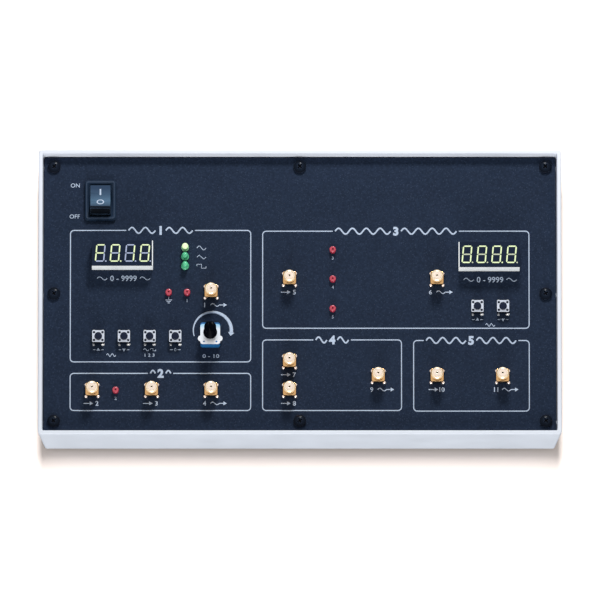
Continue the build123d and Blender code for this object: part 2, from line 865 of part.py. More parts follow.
def make_test_points():
    """Round beads with a hole down the middle, each on a tinned pin."""
    with BuildPart() as beads:
        with BuildSketch(Plane.XY.offset(board_z)):
            with Locations(*test_point_places):
                Circle(bead_radius)
        extrude(amount=bead_height)
        fillet(beads.faces().group_by(Axis.Z)[-1].edges(), bead_edge)
        with BuildSketch(Plane.XY.offset(board_z)):
            with Locations(*test_point_places):
                Circle(bead_hole_radius)
        extrude(amount=bead_height, mode=Mode.SUBTRACT)
    beads.part.label = "test_point_beads"
    export_step(beads.part, "parts/test_point_beads.step")

    with BuildPart() as pins:
        with BuildSketch(Plane.XY.offset(board_z + bead_height - test_pin_recess)):
            with Locations(*test_point_places):
                Circle(test_pin_radius)
        extrude(amount=-(bead_height - test_pin_recess + board_thickness + lead_tail))
    pins.part.label = "test_point_pins"
    export_step(pins.part, "parts/test_point_pins.step")


def make_power_inlet():
    """Round power inlet under the board: an arched block with a blind bore and a centre pin."""
    arch_radius = inlet_width / 2
    top_z = board_under_z
    bottom_z = board_under_z - inlet_height
    with BuildPart() as inlet:
        with BuildSketch(Plane.XZ.offset(-inlet_mouth_y)):
            with BuildLine():
                Polyline(
                    (inlet_x - arch_radius, bottom_z + arch_radius),
                    (inlet_x - arch_radius, top_z),
                    (inlet_x + arch_radius, top_z),
                    (inlet_x + arch_radius, bottom_z + arch_radius),
                )
                ThreePointArc(
                    (inlet_x - arch_radius, bottom_z + arch_radius),
                    (inlet_x, bottom_z),
                    (inlet_x + arch_radius, bottom_z + arch_radius),
                )
            make_face()
        extrude(amount=inlet_length)
        with BuildSketch(Plane.XZ.offset(-inlet_mouth_y)):
            with Locations((inlet_x, inlet_z)):
                Circle(inlet_bore_radius)
        extrude(amount=inlet_bore_depth, mode=Mode.SUBTRACT)
    inlet.part.label = "power_inlet_body"
    export_step(inlet.part, "parts/power_inlet_body.step")

    with BuildPart() as inlet_pin:
        with BuildSketch(Plane.XZ.offset(inlet_bore_depth - inlet_mouth_y)):
            with Locations((inlet_x, inlet_z)):
                Circle(inlet_pin_radius)
        extrude(amount=inlet_pin_recess - inlet_bore_depth)
    inlet_pin.part.label = "power_inlet_pin"
    export_step(inlet_pin.part, "parts/power_inlet_pin.step")


def make_underside_parts():
    """Shielding cans, flat chip packages and smoothing capacitors under the board."""
    with BuildPart() as shield_cans:
        with BuildSketch(Plane.XY.offset(board_under_z)):
            for place, size in zip(can_places, can_sizes):
                with Locations(place):
                    Rectangle(*size)
        extrude(amount=-can_height)
        chamfer(shield_cans.faces().group_by(Axis.Z)[0].edges(), can_edge)
    shield_cans.part.label = "shield_cans"
    export_step(shield_cans.part, "parts/shield_cans.step")

    with BuildPart() as chips:
        with BuildSketch(Plane.XY.offset(board_under_z)):
            for place, size in zip(chip_places, chip_sizes):
                with Locations(place):
                    Rectangle(*size)
        extrude(amount=-chip_height)
        chamfer(chips.faces().group_by(Axis.Z)[0].edges(), chip_bevel)
    chips.part.label = "chip_packages"
    export_step(chips.part, "parts/chip_packages.step")

    with BuildPart() as capacitors:
        with BuildSketch(Plane.XY.offset(board_under_z)):
            with Locations(*capacitor_places):
                Circle(capacitor_radius)
        extrude(amount=-capacitor_height)
        fillet(capacitors.faces().group_by(Axis.Z)[0].edges(), capacitor_edge)
    capacitors.part.label = "smoothing_capacitors"
    export_step(capacitors.part, "parts/smoothing_capacitors.step")


make_case_tray()
make_threaded_inserts()
make_rubber_feet()
make_screws()
make_main_board()
make_rocker_housing()
make_rocker_paddle()
make_rocker_terminals()
make_push_switches()
make_push_switch_metal()
make_jacks()
make_pot_base()
make_pot_frame()
make_pot_terminals()
make_pot_shaft()
make_displays()
make_lamps()
make_test_points()
make_power_inlet()
make_underside_parts()
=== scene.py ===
"""Dresses a desktop radio frequency trainer: modelled details, finishes, studio light and camera.

All sizes are in metres, written as millimetres times MM. +X is to the right, +Y to the back, +Z up.
"""

import logging
import math
import random
from collections.abc import Callable, Iterable, Sequence
from dataclasses import dataclass, field
from enum import Enum

import bmesh
import bpy
from mathutils import Matrix, Vector


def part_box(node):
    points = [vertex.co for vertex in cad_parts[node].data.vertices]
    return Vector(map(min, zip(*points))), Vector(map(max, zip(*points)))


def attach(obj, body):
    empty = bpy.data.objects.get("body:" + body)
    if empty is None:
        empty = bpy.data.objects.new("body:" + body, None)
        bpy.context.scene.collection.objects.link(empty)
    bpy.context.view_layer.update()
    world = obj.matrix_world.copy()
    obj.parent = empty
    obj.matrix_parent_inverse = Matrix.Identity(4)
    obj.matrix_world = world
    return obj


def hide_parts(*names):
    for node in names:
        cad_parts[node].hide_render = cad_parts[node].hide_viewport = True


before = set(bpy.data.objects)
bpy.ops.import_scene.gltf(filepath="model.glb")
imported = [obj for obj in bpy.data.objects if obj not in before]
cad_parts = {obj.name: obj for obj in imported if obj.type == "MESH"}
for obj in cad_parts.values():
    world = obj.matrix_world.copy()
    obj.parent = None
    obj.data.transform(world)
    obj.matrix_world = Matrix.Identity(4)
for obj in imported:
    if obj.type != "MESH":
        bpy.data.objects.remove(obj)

MM = 0.001
SEED = 7

Colour = tuple[float, float, float]
Point = tuple[float, float]
Piece = bpy.types.Object
Socket = bpy.types.NodeSocket

# Lengths below this count as none.
TOLERANCE = 1e-7
# The least cosine between directions that count as one.
PARALLEL = 0.9
CORNERS = [(-1, -1), (-1, 1), (1, -1), (1, 1)]
BOARD_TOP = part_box("main_board")[1].z
LAMP_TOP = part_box("sine_lamp")[1].z

log = logging.getLogger("trainer")


# Finishes


class NodeSheet:
    """One material's nodes, with short calls that add them and wire them up."""

    def __init__(self, name: str) -> None:
        """Starts a material with a principled shader.

        Args:
            name: The material's name.
        """
        self.material = bpy.data.materials.new(name)
        self.material.use_nodes = True
        self.tree = self.material.node_tree
        self.tree.nodes.clear()
        output = self.add("ShaderNodeOutputMaterial")
        self.shader = self.add("ShaderNodeBsdfPrincipled")
        self.wire(self.shader.outputs["BSDF"], output.inputs["Surface"])
        self.place = self.add("ShaderNodeTexCoord").outputs["Object"]

    def add(self, kind: str, **settings: object) -> bpy.types.Node:
        """Adds a node.

        Args:
            kind: Blender's name for the node.
            settings: Properties to set on it.

        Returns:
            The new node.
        """
        node = self.tree.nodes.new(kind)
        for name, value in settings.items():
            setattr(node, name, value)
        return node

    def wire(self, source: Socket, target: Socket) -> None:
        """Joins an output to an input."""
        self.tree.links.new(source, target)

    def level(self, axis: str) -> Socket:
        """How far along one axis of the piece each point lies.

        Args:
            axis: X, Y or Z.

        Returns:
            The distance, in metres.
        """
        split = self.add("ShaderNodeSeparateXYZ")
        self.wire(self.place, split.inputs[0])
        return split.outputs[axis]

    def noise(self, size: float, detail: float, stretch: Sequence[float] = (1, 1, 1)) -> Socket:
        """Cloudy noise over the piece.

        Args:
            size: Width of one patch, in metres.
            detail: How many finer layers it has.
            stretch: How much finer it is along X, Y and Z.

        Returns:
            A value around 0.5.
        """
        mapping = self.add("ShaderNodeMapping")
        mapping.inputs["Scale"].default_value = stretch
        self.wire(self.place, mapping.inputs["Vector"])
        node = self.add("ShaderNodeTexNoise")
        node.inputs["Scale"].default_value = 1 / size
        node.inputs["Detail"].default_value = detail
        self.wire(mapping.outputs["Vector"], node.inputs["Vector"])
        return node.outputs["Fac"]

    def cells(self, size: float) -> Socket:
        """Distance to the nearest of many scattered points.

        Args:
            size: Mean spacing of the points, in metres.

        Returns:
            A value that is 0 at each point.
        """
        node = self.add("ShaderNodeTexVoronoi")
        node.inputs["Scale"].default_value = 1 / size
        self.wire(self.place, node.inputs["Vector"])
        return node.outputs["Distance"]

    def span(self, value: Socket, source: Point, target: Point) -> Socket:
        """Maps one range of values on another, held at its ends.

        Args:
            value: The value to map.
            source: Its lower and upper end.
            target: What they become.

        Returns:
            The mapped value.
        """
        node = self.add("ShaderNodeMapRange")
        ends = zip(("From Min", "From Max", "To Min", "To Max"), (*source, *target))
        for name, end in ends:
            node.inputs[name].default_value = end
        self.wire(value, node.inputs["Value"])
        return node.outputs["Result"]

    def mixed(self, factor: Socket, low: Colour | Socket, high: Colour | Socket) -> Socket:
        """Mixes two colours.

        Args:
            factor: 0 gives low and 1 gives high.
            low: A colour or a colour output.
            high: A colour or a colour output.

        Returns:
            The mixed colour.
        """
        node = self.add("ShaderNodeMix", data_type="RGBA")
        self.wire(factor, node.inputs[0])
        for target, colour in ((node.inputs[6], low), (node.inputs[7], high)):
            if isinstance(colour, tuple):
                target.default_value = (*colour, 1.0)
            else:
                self.wire(colour, target)
        return node.outputs[2]

    def along(self, axis: str, stops: Sequence[tuple[float, Colour]]) -> Socket:
        """A colour that changes along one axis of the piece.

        Args:
            axis: X, Y or Z.
            stops: Places along the axis with the colour there, in rising order.

        Returns:
            The colour.
        """
        start, end = stops[0][0], stops[-1][0]
        ramp = self.add("ShaderNodeValToRGB")
        while len(ramp.color_ramp.elements) < len(stops):
            ramp.color_ramp.elements.new(0.5)
        for element, (place, colour) in zip(ramp.color_ramp.elements, stops):
            element.position = (place - start) / (end - start)
            element.color = (*colour, 1.0)
        self.wire(self.span(self.level(axis), (start, end), (0, 1)), ramp.inputs["Fac"])
        return ramp.outputs["Color"]

    def edges(self, size: float) -> Socket:
        """Where the surface turns sharply, the mask for painted edge highlights and rubbed edges.

        Args:
            size: How far from an edge it still counts, in metres.

        Returns:
            1 on an edge and 0 on a flat.
        """
        rounded = self.add("ShaderNodeBevel", samples=4)
        rounded.inputs["Radius"].default_value = size
        compare = self.add("ShaderNodeVectorMath", operation="DOT_PRODUCT")
        self.wire(rounded.outputs["Normal"], compare.inputs[0])
        self.wire(self.add("ShaderNodeNewGeometry").outputs["Normal"], compare.inputs[1])
        sharp, flat = 0.88, 0.995
        return self.span(compare.outputs["Value"], (sharp, flat), (1, 0))

    def relief(self, height: Socket, depth: float) -> None:
        """Bumps the surface.

        Args:
            height: The height, from 0 to 1.
            depth: How deep the whole range is, in metres.
        """
        node = self.add("ShaderNodeBump")
        node.inputs["Strength"].default_value = 1.0
        node.inputs["Distance"].default_value = depth
        self.wire(height, node.inputs["Height"])
        self.wire(node.outputs["Normal"], self.shader.inputs["Normal"])


def shade_of(colour: Colour, factor: float) -> Colour:
    """A colour made darker or lighter by a factor."""
    return tuple(min(channel * factor, 1.0) for channel in colour)


@dataclass(frozen=True)
class Finish:
    """A moulded or painted surface with a slow drift of colour and a fine grain.

    Attributes:
        name: The material's name.
        colour: The mean colour.
        roughness: How dull it is.
        metallic: 1 for metal.
        specular: How strongly a non-metal mirrors.
        coat: Weight of a clear layer on top.
        drift: Share by which the colour wanders.
        drift_size: Width of a patch of that drift.
        grain_size: Width of one grain.
        grain_depth: Height of the grain.
        wear: The colour painted on sharp edges, where it has one: a painted edge highlight together with
            rubbing.
        wear_size: How wide that painted edge is.
    """

    name: str
    colour: Colour
    roughness: float = 0.5
    metallic: float = 0.0
    specular: float = 0.5
    coat: float = 0.0
    drift: float = 0.06
    drift_size: float = 9 * MM
    grain_size: float = 0.5 * MM
    grain_depth: float = 0.01 * MM
    wear: Colour | None = None
    wear_size: float = 0.3 * MM

    def material(self) -> bpy.types.Material:
        """The finish's material, made at its first use.

        Returns:
            The material.
        """
        name = f"{self.name}_finish"
        found = bpy.data.materials.get(name)
        if found:
            return found
        sheet = NodeSheet(name)
        sheet.shader.inputs["Metallic"].default_value = self.metallic
        sheet.shader.inputs["Specular IOR Level"].default_value = self.specular
        sheet.shader.inputs["Coat Weight"].default_value = self.coat
        colour = self.colour_nodes(sheet)
        # Sharp edges are lightened: a painted edge highlight together with rubbing.
        if self.wear:
            colour = sheet.mixed(sheet.edges(self.wear_size), colour, self.wear)
        sheet.wire(colour, sheet.shader.inputs["Base Color"])
        sheet.wire(self.gloss_nodes(sheet), sheet.shader.inputs["Roughness"])
        sheet.relief(self.relief_nodes(sheet), self.grain_depth)
        self.glow_nodes(sheet)
        return sheet.material

    def around(self, sheet: NodeSheet, factor: Socket) -> Socket:
        """The mean colour made darker where the factor is 0 and lighter where it is 1."""
        low, high = (shade_of(self.colour, 1 + side * self.drift) for side in (-1, 1))
        return sheet.mixed(factor, low, high)

    def colour_nodes(self, sheet: NodeSheet) -> Socket:
        """Nodes for the colour, a slow drift about the mean."""
        return self.around(sheet, sheet.span(sheet.noise(self.drift_size, 4), (0.3, 0.7), (0, 1)))

    def gloss_nodes(self, sheet: NodeSheet) -> Socket:
        """Nodes for the roughness, uneven as a handled surface is.

        Args:
            sheet: The material's nodes.

        Returns:
            The roughness.
        """
        spread = 0.25 * self.roughness
        smear = sheet.noise(self.drift_size / 2, 5)
        return sheet.span(smear, (0.25, 0.75), (self.roughness - spread, self.roughness + spread))

    def relief_nodes(self, sheet: NodeSheet) -> Socket:
        """Nodes for the height, an even grain."""
        return sheet.noise(self.grain_size, 3)

    def glow_nodes(self, sheet: NodeSheet) -> None:
        """Nodes for light of its own, which a plain finish hasn't."""


@dataclass(frozen=True)
class SpeckledPaint(Finish):
    """A dark textured paint with fine pale flecks.

    Attributes:
        fleck: The flecks' colour.
        fleck_size: Their mean spacing.
        dapple_size: Width of the soft patches between them.
    """

    fleck: Colour = (0.1, 0.12, 0.16)
    fleck_size: float = 1.1 * MM
    dapple_size: float = 1.0 * MM

    def colour_nodes(self, sheet: NodeSheet) -> Socket:
        """The drifting ground with flecks scattered over it.

        Args:
            sheet: The material's nodes.

        Returns:
            The colour.
        """
        ground = super().colour_nodes(sheet)
        dapple = sheet.span(sheet.noise(self.dapple_size, 3), (0.36, 0.66), (0, 0.5))
        dappled = sheet.mixed(dapple, shade_of(self.colour, 0.7), shade_of(self.colour, 2.1))
        dappled = sheet.mixed(sheet.span(dapple, (0, 0.5), (0.4, 0.6)), ground, dappled)
        flecks = sheet.span(sheet.cells(self.fleck_size), (0.1, 0.26), (0.5, 0))
        return sheet.mixed(flecks, dappled, self.fleck)


@dataclass(frozen=True)
class Plating(Finish):
    """A thin plated metal, brighter where it is rubbed and deeper where it isn't.

    Attributes:
        tarnish: The colour of the deeper patches.
        tarnish_size: Their width.
    """

    metallic: float = 1.0
    tarnish: Colour = (0.5, 0.25, 0.06)
    tarnish_size: float = 1.8 * MM

    def colour_nodes(self, sheet: NodeSheet) -> Socket:
        """The metal's colour with tarnish in soft patches."""
        patch = sheet.span(sheet.noise(self.tarnish_size, 5), (0.5, 0.72), (0, 0.55))
        return sheet.mixed(patch, self.colour, self.tarnish)

    def relief_nodes(self, sheet: NodeSheet) -> Socket:
        """Faint turning marks, stacked along the height."""
        return sheet.noise(self.grain_size, 2, (0.15, 0.15, 3.0))


@dataclass(frozen=True)
class Layered(Plating):
    """Plated metal with painted light and shade that change with height.

    Attributes:
        layers: Levels above the floor with the colour there, from the lowest up; these colours are painted
            light and shade.
    """

    layers: tuple[tuple[float, Colour], ...] = ()

    def colour_nodes(self, sheet: NodeSheet) -> Socket:
        """The painted light and shade of the layers, with tarnish in soft patches."""
        patch = sheet.span(sheet.noise(self.tarnish_size, 5), (0.5, 0.75), (0, 0.3))
        return sheet.mixed(patch, sheet.along("Z", self.layers), self.tarnish)


@dataclass(frozen=True)
class Faded(Finish):
    """A moulded surface whose colour changes along one axis, to paint light and shade on it.

    Attributes:
        axis: X, Y or Z.
        stops: Places along the axis with the colour there, in rising order.
    """

    axis: str = "Z"
    stops: tuple[tuple[float, Colour], ...] = ()

    def colour_nodes(self, sheet: NodeSheet) -> Socket:
        """The colours along the axis with a slow drift of the mean colour."""
        patch = sheet.span(sheet.noise(self.drift_size, 4), (0.3, 0.7), (0, self.drift))
        return sheet.mixed(patch, sheet.along(self.axis, self.stops), self.colour)


@dataclass(frozen=True)
class DrawnSteel(Finish):
    """Rolled or drawn sheet with fine lines along one way.

    Attributes:
        along: The stretch that makes the lines run one way.
    """

    metallic: float = 1.0
    along: tuple[float, float, float] = (0.08, 1.0, 1.0)

    def colour_nodes(self, sheet: NodeSheet) -> Socket:
        """Light and dark lines with slow patches between."""
        lines = sheet.noise(self.grain_size, 3, self.along)
        return self.around(sheet, sheet.span(lines, (0.3, 0.7), (0, 1)))

    def relief_nodes(self, sheet: NodeSheet) -> Socket:
        """The same lines as height."""
        return sheet.noise(self.grain_size, 3, self.along)


@dataclass(frozen=True)
class PrintedInk(Finish):
    """Screen-printed ink, thin enough that the ground shows in pinholes.

    Attributes:
        ground: The colour that shows through.
    """

    ground: Colour = (0.1, 0.12, 0.16)

    def colour_nodes(self, sheet: NodeSheet) -> Socket:
        """Even ink with small thin places."""
        thin = sheet.span(sheet.noise(self.grain_size, 3), (0.56, 0.78), (0, 0.7))
        return sheet.mixed(thin, super().colour_nodes(sheet), self.ground)


@dataclass(frozen=True)
class Lens(Finish):
    """Tinted clear resin or glass.

    Attributes:
        clearness: How much light goes through.
    """

    clearness: float = 0.25

    def glow_nodes(self, sheet: NodeSheet) -> None:
        """Lets some light through, for depth."""
        sheet.shader.inputs["Transmission Weight"].default_value = self.clearness
        sheet.shader.inputs["IOR"].default_value = 1.49


@dataclass(frozen=True)
class Lit(Finish):
    """A lens or window with light behind it, brighter in some places than others.

    Attributes:
        light: The colour of the light.
        strength: How strong it is.
    """

    light: Colour = (0.9, 1.0, 0.4)
    strength: float = 0.8

    def glow_nodes(self, sheet: NodeSheet) -> None:
        """Light that is a little uneven over the window.

        Args:
            sheet: The material's nodes.
        """
        patch = sheet.span(sheet.noise(1.2 * MM, 1), (0.3, 0.7), (0, 1))
        colour = sheet.mixed(patch, shade_of(self.light, 0.82), self.light)
        sheet.wire(colour, sheet.shader.inputs["Emission Color"])
        sheet.shader.inputs["Emission Strength"].default_value = self.strength


@dataclass(frozen=True)
class LitLens(Lit):
    """A lamp's lens that is lit at its tip and keeps its own colour at its foot.

    Attributes:
        fade: The levels between which the light comes up.
    """

    fade: Point = (0.0, 1.0)

    def glow_nodes(self, sheet: NodeSheet) -> None:
        """Light that comes up towards the tip.

        Args:
            sheet: The material's nodes.
        """
        super().glow_nodes(sheet)
        rise = sheet.span(sheet.level("Z"), self.fade, (0, self.strength))
        sheet.wire(rise, sheet.shader.inputs["Emission Strength"])


WHITE_CASE = Finish(
    "white_moulding", (0.80, 0.85, 0.94), 0.45, drift=0.012, drift_size=30 * MM, grain_size=0.7 * MM
)
BOARD = SpeckledPaint(
    "board_paint",
    (0.0158, 0.0255, 0.0490),
    0.6,
    specular=0.04,
    drift=0.12,
    drift_size=14 * MM,
    fleck=(0.06, 0.085, 0.14),
)
INK = PrintedInk("printed_ink", (0.53, 0.63, 0.79), 0.5, specular=0.2, drift=0.05, grain_size=0.35 * MM)
# Black plastic; its sharp edges carry a painted edge highlight together with rubbing.
SWITCH_BLACK = Finish(
    "switch_black",
    (0.010, 0.022, 0.045),
    0.5,
    specular=0.06,
    grain_size=0.3 * MM,
    wear=(0.075, 0.105, 0.165),
    wear_size=0.6 * MM,
)
# A painted highlight: the bead along the rocker's bezel is lighter than the bezel, standing for the light on
# its rounded edge.
BEZEL_EDGE_HIGHLIGHT = Finish("bezel_edge_highlight", (0.032, 0.052, 0.090), 0.4, specular=0.15, grain_size=0.3 * MM)
# Black plastic painted darker than the other black parts, as painted shade under the push switches' covers.
SWITCH_BASE_BLACK_AND_SHADE = Finish(
    "switch_base_black_and_shade", (0.002, 0.004, 0.009), 0.5, specular=0.04, grain_size=0.3 * MM
)
# Painted light along Y on the paddle: its front end face is painted near black as shade, a painted sheen is
# brightest across the middle of the dish and fades towards the back, and sharp edges carry a painted edge
# highlight.
ROCKER_SHADE_AND_SHEEN = Faded(
    "rocker_black",
    (0.03, 0.06, 0.11),
    0.55,
    specular=0.03,
    drift=0.03,
    grain_size=0.4 * MM,
    wear=(0.05, 0.085, 0.14),
    axis="Y",
    stops=(
        (43.0 * MM, (0.001, 0.002, 0.004)),
        (43.8 * MM, (0.001, 0.003, 0.007)),
        (44.3 * MM, (0.050, 0.090, 0.145)),
        (47.0 * MM, (0.090, 0.170, 0.265)),
        (50.0 * MM, (0.058, 0.108, 0.180)),
        (54.0 * MM, (0.034, 0.062, 0.115)),
    ),
)
BUTTON_BLACK = Finish("button_black", (0.011, 0.016, 0.036), 0.5, specular=0.09, grain_size=0.2 * MM)
SHAFT_BLACK = Finish("shaft_black", (0.0005, 0.001, 0.003), 0.3, specular=0.02, grain_size=0.25 * MM)
# Painted shade: below the crown the cross recess and the head's lower edge are painted near black, and sharp
# edges carry a painted edge highlight.
SCREW_BLACK_SHADED = Faded(
    "screw_black_shaded_recess",
    (0.006, 0.010, 0.020),
    0.2,
    specular=0.05,
    grain_size=0.4 * MM,
    wear=(0.05, 0.07, 0.12),
    wear_size=0.25 * MM,
    stops=(
        (BOARD_TOP + 0.9 * MM, (0.001, 0.001, 0.003)),
        (BOARD_TOP + 1.3 * MM, (0.003, 0.006, 0.013)),
        (BOARD_TOP + 2.0 * MM, (0.008, 0.013, 0.024)),
    ),
)
RUBBER = Finish(
    "foot_rubber", (0.018, 0.018, 0.019), 0.8, specular=0.2, grain_size=0.25 * MM, grain_depth=0.03 * MM
)
CHIP_BLACK = Finish("chip_black", (0.018, 0.018, 0.020), 0.62, specular=0.3, grain_size=0.15 * MM)
POT_BLUE = Finish("control_blue", (0.015, 0.145, 0.39), 0.35, specular=0.4, drift=0.12, grain_size=0.4 * MM)
DISPLAY_WHITE = Finish("display_white", (0.93, 0.97, 1.0), 0.45, drift=0.03, grain_size=0.4 * MM)
DISPLAY_DARK = Finish(
    "display_dark", (0.009, 0.016, 0.036), 0.45, specular=0.06, drift=0.1, grain_size=0.3 * MM
)
SLEEVE = Finish("capacitor_sleeve", (0.015, 0.03, 0.07), 0.35, drift=0.1, grain_size=0.6 * MM)
PEG_DARK = Finish("peg_dark", (0.006, 0.010, 0.022), 0.45, specular=0.12, grain_size=0.2 * MM)
INSULATOR = Finish(
    "insulator_cream", (0.94, 0.79, 0.67), 0.42, drift=0.05, drift_size=2 * MM, grain_size=0.3 * MM
)
BEAD_RED = Finish(
    "bead_red", (0.50, 0.030, 0.065), 0.2, specular=0.7, coat=0.3, drift=0.25, drift_size=1 * MM
)
# Painted light and shade by height: painted shade under the base, on its top and at the barrel's foot, a
# painted highlight along the base's upper edge, and a painted highlight that brightens up to the mouth.
GOLD = Layered(
    "jack_gold",
    (1.0, 0.80, 0.52),
    0.16,
    grain_size=0.3 * MM,
    grain_depth=0.006 * MM,
    tarnish=(0.70, 0.36, 0.14),
    layers=(
        (BOARD_TOP + 1.4 * MM, (0.60, 0.34, 0.15)),
        (BOARD_TOP + 3.9 * MM, (0.92, 0.62, 0.34)),
        (BOARD_TOP + 4.2 * MM, (0.64, 0.37, 0.155)),
        (BOARD_TOP + 4.5 * MM, (0.62, 0.36, 0.15)),
        (BOARD_TOP + 7.5 * MM, (0.86, 0.56, 0.28)),
        (BOARD_TOP + 8.6 * MM, (1.0, 0.84, 0.62)),
    ),
)
# Painted shade: the contacts are painted near black below their top face, inside the hole.
SOCKET_GOLD = Layered(
    "socket_gold",
    (1.0, 0.86, 0.66),
    0.25,
    tarnish=(0.60, 0.34, 0.14),
    layers=((BOARD_TOP + 8.4 * MM, (0.02, 0.012, 0.008)), (BOARD_TOP + 8.75 * MM, (1.0, 0.86, 0.68))),
)
JACK_SOLDER = Plating("jack_solder", (0.92, 0.80, 0.73), 0.25, tarnish=(0.55, 0.45, 0.40))
BRASS = Plating("insert_brass", (0.78, 0.56, 0.25), 0.32, tarnish=(0.35, 0.2, 0.08))
ZINC = Plating("zinc_steel", (0.62, 0.62, 0.60), 0.34, tarnish=(0.36, 0.35, 0.32))
TIN = Plating("tinned_metal", (0.62, 0.63, 0.64), 0.30, tarnish=(0.30, 0.31, 0.33))
# A painted glint and painted shade: the front right joint of each push switch is painted bright and the
# other joints dark.
SOLDER_PAINTED_GLINT = Plating("solder_painted_glint", (0.95, 0.95, 0.94), 0.3, tarnish=(0.6, 0.62, 0.66))
SOLDER_PAINTED_SHADE = Plating("solder_painted_shade", (0.20, 0.21, 0.23), 0.4, tarnish=(0.08, 0.09, 0.11))
# The pins are painted dark red: a painted reflection of the red bead round them and painted shade in its
# hole.
PIN_RED_REFLECTION = Plating("test_pin_red_reflection", (0.32, 0.05, 0.07), 0.4, tarnish=(0.08, 0.01, 0.02))
COVER_STEEL = DrawnSteel("cover_steel", (0.54, 0.58, 0.66), 0.34, drift=0.16, grain_size=0.25 * MM)
# Painted reflection: the plate is tinted blue towards its back, for the blue body mirrored there, and is
# lighter towards its front.
PLATE_STEEL_BLUE_REFLECTION = Faded(
    "plate_steel_blue_reflection",
    (0.76, 0.80, 0.88),
    0.3,
    metallic=1.0,
    drift=0.1,
    grain_size=0.3 * MM,
    axis="Y",
    stops=(
        (-26.5 * MM, (0.86, 0.88, 0.92)),
        (-20.0 * MM, (0.74, 0.80, 0.88)),
        (-17.2 * MM, (0.24, 0.54, 0.76)),
    ),
)
LAMP_GREEN = Lens(
    "lamp_green", (0.13, 0.68, 0.36), 0.22, specular=0.35, drift=0.2, drift_size=1.5 * MM, clearness=0.12
)
SEGMENT_OFF = Finish("segment_off", (0.42, 0.49, 0.68), 0.4, specular=0.2, drift=0.08, grain_size=0.3 * MM)
SEGMENT_LIT = Lit("segment_lit", (0.66, 0.76, 0.48), 0.4, light=(0.80, 0.95, 0.42), strength=0.34)
SEGMENT_DIM = Lit("segment_dim", (0.50, 0.55, 0.40), 0.4, light=(0.60, 0.66, 0.40), strength=0.12)
LAMP_LIT = LitLens(
    "lamp_lit",
    (0.30, 0.62, 0.32),
    0.18,
    light=(1.0, 1.0, 0.60),
    strength=0.72,
    fade=(LAMP_TOP - 2.6 * MM, LAMP_TOP - 1.0 * MM),
)


# Modelling by hand


def only(piece: Piece) -> None:
    """Selects one piece and makes it the active one.

    Args:
        piece: The piece.
    """
    bpy.ops.object.select_all(action="DESELECT")
    piece.select_set(True)
    bpy.context.view_layer.objects.active = piece


class Editing:
    """Opens a piece in edit mode with nothing selected, and closes it again."""

    def __init__(self, piece: Piece, mode: str = "FACE") -> None:
        """Takes the piece and what is picked in it.

        Args:
            piece: The mesh to edit.
            mode: VERT, EDGE or FACE.
        """
        self.piece = piece
        self.mode = mode

    def __enter__(self) -> "Editing":
        """Enters edit mode.

        Returns:
            Itself, to edit with.
        """
        only(self.piece)
        bpy.ops.object.mode_set(mode="EDIT")
        bpy.ops.mesh.select_mode(type=self.mode)
        bpy.ops.mesh.select_all(action="DESELECT")
        return self

    def __exit__(self, *problem: object) -> None:
        """Leaves edit mode."""
        bpy.ops.object.mode_set(mode="OBJECT")

    def pick_all(self) -> None:
        """Selects the whole mesh."""
        bpy.ops.mesh.select_all(action="SELECT")

    def pick(self, test: Callable[[Vector, Vector], bool]) -> None:
        """Selects the edges or faces that pass a test.

        Args:
            test: Gets each one's middle, and its direction or normal.
        """
        mesh = bmesh.from_edit_mesh(self.piece.data)
        if self.mode == "FACE":
            for face in mesh.faces:
                face.select_set(test(face.calc_center_median(), face.normal))
        else:
            for edge in mesh.edges:
                start, end = (vert.co for vert in edge.verts)
                edge.select_set(test((start + end) / 2, (end - start).normalized()))
        mesh.select_flush_mode()
        bmesh.update_edit_mesh(self.piece.data)

    def extrude(self, x: float = 0, y: float = 0, z: float = 0) -> None:
        """Extrudes what is selected and moves it."""
        bpy.ops.mesh.extrude_region_move(TRANSFORM_OT_translate={"value": (x, y, z)})

    def merge(self) -> None:
        """Merges corners that lie on one spot."""
        self.pick_all()
        bpy.ops.mesh.remove_doubles(threshold=TOLERANCE)

    def face_outwards(self) -> None:
        """Turns every face outwards."""
        self.pick_all()
        bpy.ops.mesh.normals_make_consistent(inside=False)

    def shrink(self, factor: Sequence[float], centre: Vector) -> None:
        """Scales what is selected about a point."""
        bpy.ops.transform.resize(value=factor, center_override=centre)

    def bevel(self, width: float, segments: int) -> None:
        """Rounds the selected edges."""
        bpy.ops.mesh.bevel(offset=width, segments=segments, affect="EDGES")


def added(name: str, data: bpy.types.ID) -> Piece:
    """Puts a new object into the scene.

    Args:
        name: The object's name.
        data: Its mesh, curve, camera or light.

    Returns:
        The object.
    """
    piece = bpy.data.objects.new(name, data)
    bpy.context.scene.collection.objects.link(piece)
    return piece


def meshed(name: str, places: Sequence, edges: Sequence = (), faces: Sequence = ()) -> Piece:
    """A piece made of given corners.

    Args:
        name: The piece's name.
        places: Its corners.
        edges: Pairs of corners that are joined.
        faces: The corners of each face.

    Returns:
        The piece.
    """
    mesh = bpy.data.meshes.new(name)
    mesh.from_pydata(places, edges, faces)
    return added(name, mesh)


def settle(piece: Piece) -> Piece:
    """Puts a piece's place, turn and scale into its mesh.

    Args:
        piece: The piece.

    Returns:
        The same piece.
    """
    only(piece)
    bpy.ops.object.transform_apply(location=True, rotation=True, scale=True)
    return piece


def box(name: str, size: Sequence[float], centre: Sequence[float]) -> Piece:
    """A block to start a piece from.

    Args:
        name: The piece's name.
        size: Its length along X, Y and Z.
        centre: The block's centre.

    Returns:
        The block, settled.
    """
    bpy.ops.mesh.primitive_cube_add(size=1, location=centre, scale=size)
    piece = bpy.context.object
    piece.name = name
    return settle(piece)


